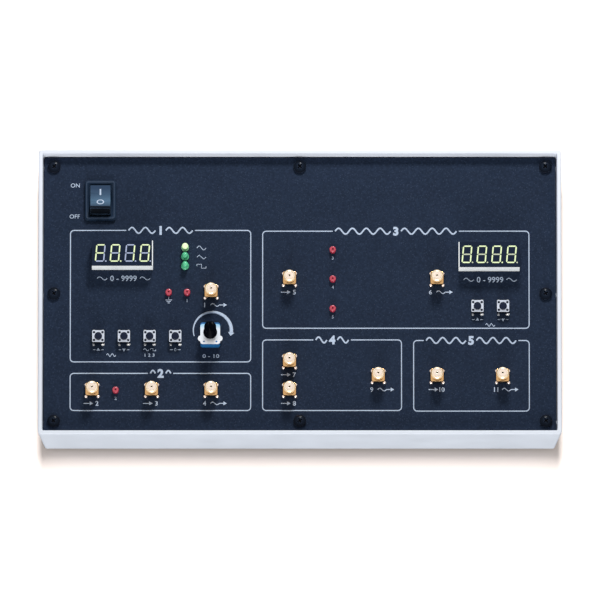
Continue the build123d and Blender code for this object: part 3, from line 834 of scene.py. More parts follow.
def turned(name: str, profile: Sequence[Point], sides: int, closed: bool = False) -> Piece:
    """A piece turned about the Z axis.

    Args:
        name: The piece's name.
        profile: Radius and height of each corner of its section.
        sides: How many flats the turn has.
        closed: Whether the last corner joins the first, as in a ring.

    Returns:
        The turned piece, at the origin.
    """
    links = [(n, n + 1) for n in range(len(profile) - 1)]
    if closed:
        links.append((len(profile) - 1, 0))
    piece = meshed(name, [(radius, 0, height) for radius, height in profile], links)
    with Editing(piece, "VERT") as edit:
        edit.pick_all()
        bpy.ops.mesh.spin(steps=sides, angle=math.tau, center=(0, 0, 0), axis=(0, 0, 1))
        edit.merge()
        edit.face_outwards()
    return piece


def modify(piece: Piece, kind: str, **settings: object) -> None:
    """Adds a modifier and applies it.

    Args:
        piece: The piece to change.
        kind: Blender's name for the modifier.
        settings: Its properties.
    """
    only(piece)
    modifier = piece.modifiers.new(kind.lower(), kind)
    for name, value in settings.items():
        setattr(modifier, name, value)
    bpy.ops.object.modifier_apply(modifier=modifier.name)


def copied(piece: Piece, name: str, place: Sequence[float], turn: float = 0.0) -> Piece:
    """A copy with its own mesh.

    Args:
        piece: The pattern, at the origin.
        name: The copy's name.
        place: Where it goes.
        turn: How far it is turned about Z, in radians.

    Returns:
        The copy.
    """
    twin = piece.copy()
    twin.data = piece.data.copy()
    twin.name = name
    twin.data.transform(Matrix.Translation(Vector(place)) @ Matrix.Rotation(turn, 4, "Z"))
    bpy.context.scene.collection.objects.link(twin)
    return twin


def joined(name: str, pieces: Sequence[Piece]) -> Piece:
    """Joins pieces into one.

    Args:
        name: The joined piece's name.
        pieces: What is joined.

    Returns:
        The joined piece.
    """
    only(pieces[0])
    for piece in pieces:
        piece.select_set(True)
    bpy.ops.object.join()
    pieces[0].name = name
    return pieces[0]


def drop(*pieces: Piece) -> None:
    """Deletes patterns that were only copied from."""
    for piece in pieces:
        bpy.data.objects.remove(piece)


def repeated(
    name: str, pattern: Piece, places: Sequence[Sequence[float]], turns: Sequence[float] = ()
) -> Piece:
    """Copies a pattern to many places, joins the copies and deletes the pattern.

    Args:
        name: The joined piece's name.
        pattern: The pattern, at the origin.
        places: Where the copies go.
        turns: How far each is turned about Z, in radians, if they are.

    Returns:
        The joined copies.
    """
    turns = turns or [0.0] * len(places)
    piece = joined(name, [copied(pattern, name, *where) for where in zip(places, turns)])
    drop(pattern)
    return piece


def smooth(piece: Piece, degrees: float = 35.0) -> None:
    """Shades a piece smooth except at its sharp edges."""
    only(piece)
    bpy.ops.object.shade_smooth_by_angle(angle=math.radians(degrees))


def fit(piece: Piece, finish: Finish, body: str = "case", replaces: Iterable[str] = ()) -> None:
    """Gives a modelled piece its finish and the body that it moves with.

    Args:
        piece: The piece, in place.
        finish: Its finish.
        body: The body that it rides on.
        replaces: The plain nodes that it stands for.
    """
    piece.data.materials.clear()
    piece.data.materials.append(finish.material())
    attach(piece, body)
    if replaces:
        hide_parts(*replaces)
    log.info("%s: modelled, %d faces, finish %s", piece.name, len(piece.data.polygons), finish.name)


def smoothed(node: str, finish: Finish, body: str = "case", weighted: bool = True) -> None:
    """Puts a merged and smoothly shaded copy in a plain node's place.

    Args:
        node: The plain node.
        finish: The copy's finish.
        body: The body that it rides on.
        weighted: Whether large faces stay flat in the shading.
    """
    piece = added(f"{node}_smooth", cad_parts[node].data.copy())
    with Editing(piece, "VERT") as edit:
        edit.merge()
    smooth(piece)
    if weighted:
        modify(piece, "WEIGHTED_NORMAL", keep_sharp=True)
    fit(piece, finish, body, [node])


def dress(node: str, finish: Finish) -> None:
    """Gives a plain node its finish.

    Args:
        node: The plain node.
        finish: Its finish.
    """
    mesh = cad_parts[node].data
    mesh.materials.clear()
    mesh.materials.append(finish.material())
    log.info("%s: finish %s", node, finish.name)


def middle(node: str) -> Vector:
    """The middle of a node's box."""
    low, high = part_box(node)
    return (low + high) / 2


# Fasteners and the tray


@dataclass
class CrossHeadScrew:
    """A domed screw with a cross recess, its head's seat on Z = 0.

    Attributes:
        head_radius: Radius of the head.
        head_height: Height of its crown.
        recess_length: Length of the cross from tip to tip.
        shank_radius: Radius of the shank.
        shank_length: Length of the shank.
        recess_width: Width of each arm.
        recess_depth: Depth at the middle.
        rim: Height of the head's edge.
    """

    head_radius: float
    head_height: float
    recess_length: float
    shank_radius: float = 1.5 * MM
    shank_length: float = 8.0 * MM
    recess_width: float = 0.92 * MM
    recess_depth: float = 1.2 * MM
    rim: float = 0.15 * MM

    def profile(self) -> list[Point]:
        """Half the screw's outline, from the crown round to the tip.

        Returns:
            Radius and height of each corner.
        """
        edge = self.head_height / 2
        rise = self.head_height - edge
        crown_radius = (self.head_radius**2 + rise**2) / (2 * rise)
        sweep = math.asin(self.head_radius / crown_radius)
        steps = 7
        crown = [
            (
                crown_radius * math.sin(sweep * n / steps),
                self.head_height - crown_radius * (1 - math.cos(sweep * n / steps)),
            )
            for n in range(steps + 1)
        ]
        tip = 0.3 * self.shank_radius
        return crown + [
            (self.head_radius, self.rim),
            (self.head_radius - self.rim, 0),
            (self.shank_radius, 0),
            (self.shank_radius, tip - self.shank_length),
            (self.shank_radius - tip, -self.shank_length),
            (0, -self.shank_length),
        ]

    def recess(self) -> Piece:
        """The tapered cross that is cut out of the head.

        Returns:
            The cross, where the head is.
        """
        top = self.head_height + self.recess_depth
        height = 2 * self.recess_depth
        deep_length, deep_width = 0.45, 0.9
        arms = []
        for size in ((self.recess_length, self.recess_width), (self.recess_width, self.recess_length)):
            arm = box("recess_arm", (*size, height), (0, 0, top - height / 2))
            factor = (deep_length, deep_width) if size[0] > size[1] else (deep_width, deep_length)
            with Editing(arm) as edit:
                edit.pick(lambda centre, normal: normal.z < -PARALLEL)
                edit.shrink((*factor, 1), Vector((0, 0, top - height)))
            arms.append(arm)
        return joined("recess", arms)

    def seats(self, node: str, level: float, signs: Sequence[Point]) -> list[Vector]:
        """Where the screws sit that stand for a plain node's.

        Args:
            node: The plain screws.
            level: The height of their seats.
            signs: The signs of each one's X and Y.

        Returns:
            The middles of the seats.
        """
        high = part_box(node)[1]
        reach_x, reach_y = high.x - self.head_radius, high.y - self.head_radius
        return [Vector((x * reach_x, y * reach_y, level)) for x, y in signs]

    def build(self) -> Piece:
        """The finished screw, at the origin.

        Returns:
            The screw.
        """
        screw = turned("screw", self.profile(), 36)
        cutter = self.recess()
        modify(screw, "BOOLEAN", object=cutter, operation="DIFFERENCE", solver="EXACT", use_self=True)
        drop(cutter)
        smooth(screw, 30)
        return screw


@dataclass
class Tray:
    """The white tray with its inserts, and its feet with their screws.

    Attributes:
        foot_sink: Height of the foot screws' seats.
        screw: A foot's screw.
    """

    foot_sink: float = 1.6 * MM
    screw: CrossHeadScrew = field(
        default_factory=lambda: CrossHeadScrew(
            2.6 * MM, 1.3 * MM, 2.8 * MM, shank_length=6.5 * MM, recess_depth=0.8 * MM
        )
    )

    def build(self) -> None:
        """Models the foot screws and dresses the tray."""
        pattern = self.screw.build()
        pattern.data.transform(Matrix.Rotation(math.pi, 4, "X"))
        seats = self.screw.seats("foot_screws", self.foot_sink, CORNERS)
        fit(repeated("foot_screws_cross", pattern, seats), ZINC, replaces=["foot_screws"])
        dress("case_tray", WHITE_CASE)
        dress("threaded_inserts", BRASS)
        dress("rubber_feet", RUBBER)


@dataclass
class Board:
    """The black board, its screws and what hangs under it.

    Attributes:
        screw: The screws round its edge.
        mean_turn: How far a screw's cross is turned on average, in degrees.
        spare_turn: How much more or less it may be turned.
    """

    screw: CrossHeadScrew = field(default_factory=lambda: CrossHeadScrew(3.2 * MM, 2.0 * MM, 4.1 * MM))
    mean_turn: float = 45
    spare_turn: float = 18

    def build(self) -> None:
        """Models the screws and dresses the board."""
        chance = random.Random(SEED)
        around = [(x, y) for x in (-1, 0, 1) for y in (-1, 0, 1) if (x, y) != (0, 0)]
        seats = self.screw.seats("board_screws", BOARD_TOP, around)
        spares = [chance.uniform(-self.spare_turn, self.spare_turn) for _ in seats]
        turns = [math.radians(self.mean_turn + spare) for spare in spares]
        screws = repeated("board_screws_cross", self.screw.build(), seats, turns)
        fit(screws, SCREW_BLACK_SHADED, replaces=["board_screws"])
        dress("main_board", BOARD)
        dress("shield_cans", TIN)
        dress("chip_packages", CHIP_BLACK)
        dress("smoothing_capacitors", SLEEVE)
        dress("power_inlet_body", SWITCH_BLACK)
        dress("power_inlet_pin", TIN)


# Printing on the board


class Wave(Enum):
    """The wave forms that are drawn as signs."""

    SINE = "sine"
    TRIANGLE = "triangle"
    SQUARE = "square"


@dataclass
class Printing:
    """Thin ink on the board: frames, signs, plain numbers and short generic words.

    Attributes:
        thickness: How far the ink stands up.
        level: The height of the surface that it is printed on.
        marks: What was printed since the last piece was finished.
    """

    thickness: float = 0.03 * MM
    level: float = 0.0
    marks: list[Piece] = field(default_factory=list)

    def stroke(self, points: Sequence[Point], width: float | Sequence[float]) -> None:
        """One printed line.

        Args:
            points: Its corners, in metres on the board.
            width: Its width, or one width for each corner.
        """
        widths = [width] * len(points) if isinstance(width, float) else width
        curve = bpy.data.curves.new("stroke", "CURVE")
        curve.dimensions = "3D"
        curve.bevel_depth = 0.5
        curve.bevel_resolution = 1
        curve.use_fill_caps = True
        spline = curve.splines.new("POLY")
        spline.points.add(len(points) - 1)
        for target, (x, y), wide in zip(spline.points, points, widths):
            target.co = (x, y, 0, 1)
            target.radius = wide
        piece = added("stroke", curve)
        only(piece)
        bpy.ops.object.convert(target="MESH")
        height = max(vert.co.z for vert in piece.data.vertices)
        flat = Matrix.Diagonal((1, 1, self.thickness / height, 1))
        piece.data.transform(Matrix.Translation((0, 0, self.level)) @ flat)
        self.marks.append(piece)

    def text(self, words: str, height: float, place: Point, bold: float = 0.0, spread: float = 1.0) -> None:
        """A short printed word or number.

        Args:
            words: What it says.
            height: The height of its capitals or figures.
            place: Its middle on the board.
            bold: How much each line is thickened on every side, as a share of the height.
            spread: How much wider than usual its letters are.
        """
        bpy.ops.object.text_add(location=(0, 0, 0))
        piece = bpy.context.object
        piece.data.body = words
        piece.data.size = 1.0
        piece.data.offset = 0.7 * bold
        piece.data.extrude = 0.01
        piece.data.resolution_u = 3
        bpy.ops.object.convert(target="MESH")
        corners = [vert.co.copy() for vert in piece.data.vertices]
        low = Vector([min(corner[n] for corner in corners) for n in range(3)])
        high = Vector([max(corner[n] for corner in corners) for n in range(3)])
        scale = height / (high.y - low.y)
        across = scale * spread
        shape = Matrix.Diagonal((across, scale, self.thickness / (high.z - low.z), 1))
        shift = Matrix.Translation((place[0], place[1], self.level + self.thickness / 2))
        piece.data.transform(shift @ shape @ Matrix.Translation(-(low + high) / 2))
        self.marks.append(piece)

    def patch(self, points: Sequence[Point]) -> None:
        """A small filled shape, as an arrow head.

        Args:
            points: Its corners, counter-clockwise.
        """
        corners = [(x, y, self.level) for x, y in points]
        piece = meshed("patch", corners, faces=[range(len(points))])
        with Editing(piece) as edit:
            edit.pick_all()
            edit.extrude(z=self.thickness)
            edit.face_outwards()
        self.marks.append(piece)

    def dash(self, start: float, end: float, y: float, width: float) -> None:
        """A straight line along X, from start to end."""
        self.stroke([(start, y), (end, y)], width)

    def arrow_tip(self, place: Point, size: float, turn: float) -> None:
        """A filled triangle about a middle, which points up the board when turn is 0."""
        angles = [turn + math.pi / 2 + n * math.tau / 3 for n in range(3)]
        self.patch([(place[0] + size * math.cos(a), place[1] + size * math.sin(a)) for a in angles])

    def wave(
        self, kind: Wave, place: Point, length: float, swing: float, width: float, periods: float = 1
    ) -> None:
        """A wave form sign.

        Args:
            kind: Which wave it shows.
            place: Its middle.
            length: From end to end.
            swing: From its middle line to a crest.
            width: The width of its line.
            periods: How many waves it has.
        """
        if kind is Wave.SQUARE:
            steps = [(-0.5, 0), (-0.5, 1), (0, 1), (0, -1), (0.5, -1), (0.5, 0)]
        elif kind is Wave.TRIANGLE:
            steps = [(-0.5, 0), (-0.25, 1), (0.25, -1), (0.5, 0)]
        else:
            count = round(24 * periods)
            phases = [n / count for n in range(count + 1)]
            steps = [(phase - 0.5, math.sin(math.tau * periods * phase)) for phase in phases]
        points = [(place[0] + along * length, place[1] + up * swing) for along, up in steps]
        self.stroke(points, width)

    def ground(self, place: Point, size: float, width: float) -> None:
        """The earth sign: a short stem over three bars.

        Args:
            place: The middle of its longest bar.
            size: The length of that bar.
            width: The width of its lines.
        """
        x, y = place
        self.stroke([(x, y + 0.45 * size), (x, y)], width)
        for row, share in enumerate((0.5, 0.32, 0.14)):
            level = y - row * 0.24 * size
            self.dash(x - share * size, x + share * size, level, width)

    def finish(self, name: str) -> None:
        """Joins the marks made since the last call into one piece.

        Args:
            name: The piece's name.
        """
        piece = joined(name, self.marks)
        self.marks = []
        fit(piece, INK)


@dataclass
class SectionFrame:
    """One printed frame on the board, with a gap in its back line for its title.

    Attributes:
        number: The plain number in its title.
        left: Its left line.
        right: Its right line.
        back: Its back line.
        front: Its front line.
        gap: The ends of the gap.
        periods: How many waves stand on each side of the number.
        corner: Radius of its corners.
        line: Width of its line.
        title_height: Height of its number.
    """

    number: int
    left: float
    right: float
    back: float
    front: float
    gap: Point
    periods: float
    corner: float = 1.8 * MM
    line: float = 0.55 * MM
    title_height: float = 4.6 * MM

    def outline(self) -> list[Point]:
        """The frame's line from one side of the gap round to the other.

        Returns:
            Its points on the board, clockwise.
        """
        corners = (
            (self.right - self.corner, self.back - self.corner, 90),
            (self.right - self.corner, self.front + self.corner, 0),
            (self.left + self.corner, self.front + self.corner, -90),
            (self.left + self.corner, self.back - self.corner, -180),
        )
        steps = 6
        points = [(self.gap[1], self.back)]
        for x, y, start in corners:
            for step in range(steps + 1):
                angle = math.radians(start - 90 * step / steps)
                points.append((x + self.corner * math.cos(angle), y + self.corner * math.sin(angle)))
        return points + [(self.gap[0], self.back)]

    def draw(self, printing: Printing) -> None:
        """Prints the frame and its title.

        Args:
            printing: What prints it.
        """
        printing.stroke(self.outline(), self.line)
        centre = sum(self.gap) / 2
        printing.text(str(self.number), self.title_height, (centre, self.back), bold=0.07)
        figure, space = 2.6 * MM, 1.2 * MM
        swing, line = 1.5 * MM, 0.8 * MM
        length = (self.gap[1] - self.gap[0]) / 2 - figure - space
        for side in (-1, 1):
            place = (centre + side * (figure + length / 2), self.back)
            printing.wave(Wave.SINE, place, length, swing, line, self.periods)
        printing.finish(f"section_frame_{self.number}")


@dataclass
class BoardPrint:
    """Everything printed on the board.

    Attributes:
        frames: The five frames.
        jack_numbers: The number printed at each jack.
        jack_outputs: The numbers of those that are outputs.
        jack_mark_height: Height of these numbers.
        jack_mark_drop: How far they lie in front of their jack.
        small_height: Height of the figures at the test points and push switches.
        thin: Width of the fine lines.
        firm: Width of the lines at the jacks.
    """

    frames: tuple[SectionFrame, ...] = (
        SectionFrame(1, -113.6 * MM, -24.3 * MM, 32.8 * MM, -34.9 * MM, (-86.0 * MM, -51.9 * MM), 2),
        SectionFrame(2, -113.6 * MM, -24.3 * MM, -40.8 * MM, -59.9 * MM, (-75.1 * MM, -62.6 * MM), 0.5),
        SectionFrame(3, -18.4 * MM, 113.5 * MM, 32.4 * MM, -17.6 * MM, (16.3 * MM, 78.8 * MM), 4),
        SectionFrame(4, -18.4 * MM, 50.3 * MM, -23.6 * MM, -59.9 * MM, (6.7 * MM, 25.3 * MM), 1),
        SectionFrame(5, 56.3 * MM, 113.5 * MM, -23.9 * MM, -60.2 * MM, (61.3 * MM, 108.2 * MM), 3),
    )
    jack_numbers: tuple[int, ...] = (2, 3, 4, 1, 8, 7, 5, 9, 10, 6, 11)
    jack_outputs: tuple[int, ...] = (1, 4, 6, 9, 11)
    jack_mark_height: float = 2.4 * MM
    jack_mark_drop: float = 6.3 * MM
    small_height: float = 1.6 * MM
    thin: float = 0.36 * MM
    firm: float = 0.45 * MM

    def draw(self) -> None:
        """Prints every mark."""
        printing = Printing(level=BOARD_TOP)
        for section in self.frames:
            section.draw(printing)
        self.draw_jack_marks(printing)
        self.draw_test_point_marks(printing)
        self.draw_switch_marks(printing)
        self.draw_lamp_signs(printing)
        self.draw_control_arc(printing)
        self.draw_captions(printing)

    def draw_jack_marks(self, printing: Printing) -> None:
        """A number in front of each jack, with an arrow to it for an input and from it for an output.

        Args:
            printing: What prints them.
        """
        tip_size, rightwards = 1.15 * MM, -math.pi / 2
        for index, number in enumerate(self.jack_numbers, 1):
            place = middle(f"jack_shell_{index}")
            x, y = place.x, place.y - self.jack_mark_drop
            if number in self.jack_outputs:
                printing.text(str(number), self.jack_mark_height, (x - 3.2 * MM, y), bold=0.03)
                printing.wave(Wave.SINE, (x + 1.9 * MM, y), 4.4 * MM, 0.7 * MM, self.firm)
                printing.dash(x + 4.1 * MM, x + 6.2 * MM, y, self.firm)
                printing.arrow_tip((x + 6.7 * MM, y), tip_size, rightwards)
            else:
                printing.dash(x - 4.2 * MM, x - 1.2 * MM, y, self.firm)
                printing.arrow_tip((x - 0.6 * MM, y), tip_size, rightwards)
                printing.text(str(number), self.jack_mark_height, (x + 2.4 * MM, y), bold=0.03)
        printing.finish("jack_marks")

    def draw_test_point_marks(self, printing: Printing) -> None:
        """The earth sign at the first test point and plain numbers at the others.

        Args:
            printing: What prints them.
        """
        drop_to_mark = 3.9 * MM
        for number, place in enumerate(test_point_places()):
            spot = (place.x, place.y - drop_to_mark)
            if number == 0:
                printing.ground((spot[0], spot[1] + 0.3 * MM), 3.2 * MM, 0.4 * MM)
            else:
                printing.text(str(number), self.small_height, spot, bold=0.01)
        printing.finish("test_point_marks")

    def draw_switch_marks(self, printing: Printing) -> None:
        """Arrows, waves and plain numbers in front of the push switches.

        Args:
            printing: What prints them.
        """
        row = 6.0 * MM
        up, down, form, zero, up_again, down_again = (middle(f"push_button_{n}") for n in range(1, 7))
        for place, turn in ((up, 0), (down, math.pi), (up_again, 0), (down_again, math.pi)):
            printing.arrow_tip((place.x, place.y - row), 1.0 * MM, turn)
            for side in (-1, 1):
                start, end = (place.x + side * reach * MM for reach in (1.4, 2.6))
                printing.dash(start, end, place.y - row, self.thin)
        for pair in ((up, down), (up_again, down_again)):
            centre = (pair[0] + pair[1]) / 2
            printing.wave(Wave.SINE, (centre.x, centre.y - row - 2.8 * MM), 4.6 * MM, 0.7 * MM, self.thin, 2)
        printing.wave(Wave.SINE, (form.x - 1.7 * MM, form.y - row), 2.6 * MM, 0.6 * MM, self.thin)
        printing.wave(Wave.SQUARE, (form.x + 1.7 * MM, form.y - row), 2.6 * MM, 0.6 * MM, self.thin)
        printing.text("1 2 3", self.small_height, (form.x, form.y - row - 2.8 * MM), bold=0.01, spread=1.2)
        printing.text("0", self.small_height, (zero.x, zero.y - row), bold=0.01)
        for side in (-1, 1):
            start, end = (zero.x + side * reach * MM for reach in (1.2, 2.6))
            printing.dash(start, end, zero.y - row, self.thin)
        printing.finish("switch_marks")

    def draw_lamp_signs(self, printing: Printing) -> None:
        """A wave form beside each lamp.

        Args:
            printing: What prints them.
        """
        offset = 8.1 * MM
        kinds = {"sine_lamp": Wave.SINE, "triangle_lamp": Wave.TRIANGLE, "square_lamp": Wave.SQUARE}
        for lamp, kind in kinds.items():
            place = middle(lamp)
            printing.wave(kind, (place.x + offset, place.y), 4.5 * MM, 1.0 * MM, self.thin)
        printing.finish("lamp_signs")

    def draw_control_arc(self, printing: Printing) -> None:
        """The arrow round the control, which widens clockwise, and the numbers of its travel.

        Args:
            printing: What prints them.
        """
        shaft = middle("pot_shaft")
        centre = (shaft.x + 1.0 * MM, shaft.y + 2.7 * MM)
        radius = 9.4 * MM
        start, end, steps = 198.0, -6.0, 40
        narrow, wide = 0.5 * MM, 2.0 * MM
        points = []
        widths = []
        for step in range(steps + 1):
            angle = math.radians(start + (end - start) * step / steps)
            points.append((centre[0] + radius * math.cos(angle), centre[1] + radius * math.sin(angle)))
            widths.append(narrow + (wide - narrow) * step / steps)
        printing.stroke(points, widths)
        x, y = points[-1]
        half, length = 1.6 * MM, 1.8 * MM
        printing.patch([(x - half, y + 0.2 * MM), (x - 0.3 * MM, y - length), (x + half, y - 0.3 * MM)])
        printing.text("0 - 10", 1.9 * MM, (shaft.x + 0.3 * MM, shaft.y - 10.5 * MM), bold=0.02, spread=1.35)
        printing.finish("control_arc")

    def draw_captions(self, printing: Printing) -> None:
        """ON and OFF beside the rocker, and each display's span of numbers between two waves.

        Args:
            printing: What prints them.
        """
        rocker = middle("rocker_paddle")
        printing.text("ON", 2.1 * MM, (rocker.x - 12.5 * MM, rocker.y + 8.1 * MM))
        printing.text("OFF", 2.1 * MM, (rocker.x - 12.7 * MM, rocker.y - 7.9 * MM))
        for side in ("left", "right"):
            place = middle(f"display_housing_{side}")
            x, y = place.x + 0.5 * MM, place.y - 10.8 * MM
            printing.text("0 - 9999", 2.9 * MM, (x, y), bold=0.02)
            for end in (-1, 1):
                printing.wave(Wave.SINE, (x + end * 10.6 * MM, y), 5.0 * MM, 0.8 * MM, self.thin)
        printing.finish("captions")


# Parts on the board


@dataclass
class RockerSwitch:
    """The rocker switch with its I and O marks, and a bead along its bezel that carries a painted highlight.

    Attributes:
        bar_size: Width and length of the I.
        bar_reach: How far it lies behind the paddle's middle.
        ring_size: Width and length of the O.
        ring_line: Width of its line.
        ring_reach: How far it lies behind the paddle's middle.
        mark_thickness: How far the marks stand up.
        mark_lift: The gap that is left under them.
        drop_height: How far above the paddle's middle a mark starts before it is laid on.
        bead_inset: From the bezel's edge to the bead.
        bead_size: Width and height of the bead.
        bead_corner: Radius of its corners.
    """

    bar_size: Point = (0.8 * MM, 3.2 * MM)
    bar_reach: float = 4.0 * MM
    ring_size: Point = (3.7 * MM, 2.7 * MM)
    ring_line: float = 0.55 * MM
    ring_reach: float = -1.5 * MM
    mark_thickness: float = 0.05 * MM
    mark_lift: float = 0.01 * MM
    drop_height: float = 9 * MM
    bead_inset: float = 0.75 * MM
    bead_size: Point = (0.5 * MM, 0.12 * MM)
    bead_corner: float = 0.9 * MM

    def lay(self, mark: Piece) -> None:
        """Lays a flat mark on the dished face and gives it a thickness.

        Args:
            mark: The flat mark, above the paddle and facing up.
        """
        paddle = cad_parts["rocker_paddle"]
        modify(
            mark,
            "SHRINKWRAP",
            target=paddle,
            wrap_method="PROJECT",
            use_project_z=True,
            use_negative_direction=True,
            use_positive_direction=False,
            offset=self.mark_lift,
        )
        modify(mark, "SOLIDIFY", thickness=self.mark_thickness, offset=1.0)

    def above(self, reach: float) -> Vector:
        """A place well above the paddle, this far behind its middle."""
        centre = middle("rocker_paddle")
        return Vector((centre.x, centre.y + reach, centre.z + self.drop_height))

    def bar(self) -> Piece:
        """The I mark, at the back of the paddle.

        Returns:
            The mark, flat and above the paddle.
        """
        place = self.above(self.bar_reach)
        wide, length = self.bar_size
        bpy.ops.mesh.primitive_grid_add(x_subdivisions=2, y_subdivisions=12, size=length, location=place)
        mark = settle(bpy.context.object)
        with Editing(mark) as edit:
            edit.pick_all()
            edit.shrink((wide / length, 1, 1), place)
        return mark

    def ring(self) -> Piece:
        """The O mark, in front of the middle of the paddle.

        Returns:
            The mark, flat and above the paddle.
        """
        place = self.above(self.ring_reach)
        across, along = self.ring_size
        bpy.ops.mesh.primitive_circle_add(vertices=48, radius=across / 2, fill_type="NGON", location=place)
        mark = settle(bpy.context.object)
        with Editing(mark) as edit:
            edit.pick_all()
            bpy.ops.mesh.inset(thickness=self.ring_line)
            bpy.ops.mesh.delete(type="FACE")
            edit.pick_all()
            edit.shrink((1, along / across, 1), place)
        return mark

    def bead(self) -> Piece:
        """The rounded bead along the bezel's edge, lighter than the bezel as a painted highlight.

        Returns:
            The bead, in place.
        """
        low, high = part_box("rocker_housing")
        size = [high[axis] - low[axis] - 2 * self.bead_inset for axis in (0, 1)]
        centre = (low + high) / 2
        wide, tall = self.bead_size
        bead = box("rocker_bezel_highlight_bead", (*size, tall), (centre.x, centre.y, high.z))
        with Editing(bead, "EDGE") as edit:
            edit.pick(lambda place, along: abs(along.z) > PARALLEL)
            edit.bevel(self.bead_corner, 5)
        for face_up in (1, -1):
            with Editing(bead) as edit:
                edit.pick(lambda place, normal: normal.z * face_up > PARALLEL)
                bpy.ops.mesh.inset(thickness=wide)
                if face_up < 0:
                    edit.pick(
                        lambda place, normal: abs(normal.z) > PARALLEL and (place - centre).xy.length < wide
                    )
                    bpy.ops.mesh.bridge_edge_loops()
        modify(bead, "BEVEL", width=0.3 * tall, segments=2, limit_method="ANGLE")
        smooth(bead)
        return bead

    def build(self) -> None:
        """Models the marks and the bead with its painted highlight, and dresses the switch, with painted
        shade and sheen on the paddle.
        """
        # The bead is lighter than the bezel: a painted highlight along its edge.
        fit(self.bead(), BEZEL_EDGE_HIGHLIGHT)
        for name, mark in (("rocker_on_mark", self.bar()), ("rocker_off_mark", self.ring())):
            mark.name = name
            self.lay(mark)
            fit(mark, INK, body="rocker_paddle")
        smoothed("rocker_housing", SWITCH_BLACK)
        # The paddle carries painted shade on its front end and a painted sheen across its dish.
        smoothed("rocker_paddle", ROCKER_SHADE_AND_SHEEN, "rocker_paddle")
        dress("rocker_terminals", TIN)


@dataclass
class PushSwitches:
    """The six push switches: cover pegs and solder added to the plain parts.

    Attributes:
        count: How many there are.
        peg_reach: From a switch's middle to its pegs, along X and Y.
        peg_radius: Radius of a peg.
        peg_height: How far it stands up.
        solder_radius: Radius of a full joint's foot.
        solder_height: Height of a full joint.
        leg_pitch: From one leg to the next, along X.
        leg_reach: From a switch's middle to its legs, along Y.
    """

    count: int = 6
    peg_reach: Point = (2.1 * MM, 2.0 * MM)
    peg_radius: float = 0.64 * MM
    peg_height: float = 0.25 * MM
    solder_radius: float = 0.85 * MM
    solder_height: float = 0.85 * MM
    leg_pitch: float = 4.5 * MM
    leg_reach: float = 3.15 * MM

    def corners(self, reach_x: float, reach_y: float, signs: Sequence[Point] = CORNERS) -> list[Vector]:
        """Places round each switch.

        Args:
            reach_x: How far they lie to each side.
            reach_y: How far they lie to the back and front.
            signs: Which corners are meant, by the signs of X and Y.

        Returns:
            The places, at the board's level.
        """
        places = []
        for number in range(1, self.count + 1):
            centre = middle(f"push_button_{number}")
            places += [
                Vector((centre.x + x * reach_x, centre.y + y * reach_y, BOARD_TOP))
                for x, y in signs
            ]
        return places

    def build_pegs(self) -> None:
        """Small riveted pegs at the covers' corners."""
        cover_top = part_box("push_switch_covers")[1].z
        r, h = self.peg_radius, self.peg_height
        peg = turned("peg", [(0, h), (0.5 * r, 0.94 * h), (0.85 * r, 0.6 * h), (r, 0), (0, 0)], 16)
        smooth(peg)
        places = [(place.x, place.y, cover_top) for place in self.corners(*self.peg_reach)]
        fit(repeated("push_switch_pegs", peg, places), PEG_DARK)

    def build_solder(self, name: str, signs: Sequence[Point], size: float, finish: Finish) -> None:
        """Solder that runs up some of each switch's legs.

        Args:
            name: The piece's name.
            signs: The corners of those legs.
            size: 1 for a full joint, less for a lean one.
            finish: The solder's finish.
        """
        r, h = size * self.solder_radius, size * self.solder_height
        profile = [(0, h), (0.22 * r, 0.9 * h), (0.42 * r, 0.5 * h), (0.68 * r, 0.2 * h), (r, 0), (0, 0)]
        cone = turned("solder", profile, 18)
        smooth(cone, 50)
        places = self.corners(self.leg_pitch / 2, self.leg_reach, signs)
        fit(repeated(name, cone, places), finish)

    def build(self) -> None:
        """Models the pegs and solder and dresses the switches."""
        self.build_pegs()
        # The front right joints are painted bright as a painted glint, the other joints dark as painted
        # shade.
        self.build_solder("push_switch_full_joints", [(1, -1)], 1.0, SOLDER_PAINTED_GLINT)
        self.build_solder("push_switch_lean_joints", [(-1, -1), (-1, 1), (1, 1)], 0.8, SOLDER_PAINTED_SHADE)
        for number in range(1, self.count + 1):
            dress(f"push_switch_base_{number}", SWITCH_BASE_BLACK_AND_SHADE)
            smoothed(f"push_button_{number}", BUTTON_BLACK, f"push_button_{number}")
        dress("push_switch_covers", COVER_STEEL)
        dress("push_switch_domes", TIN)
        dress("push_switch_legs", TIN)


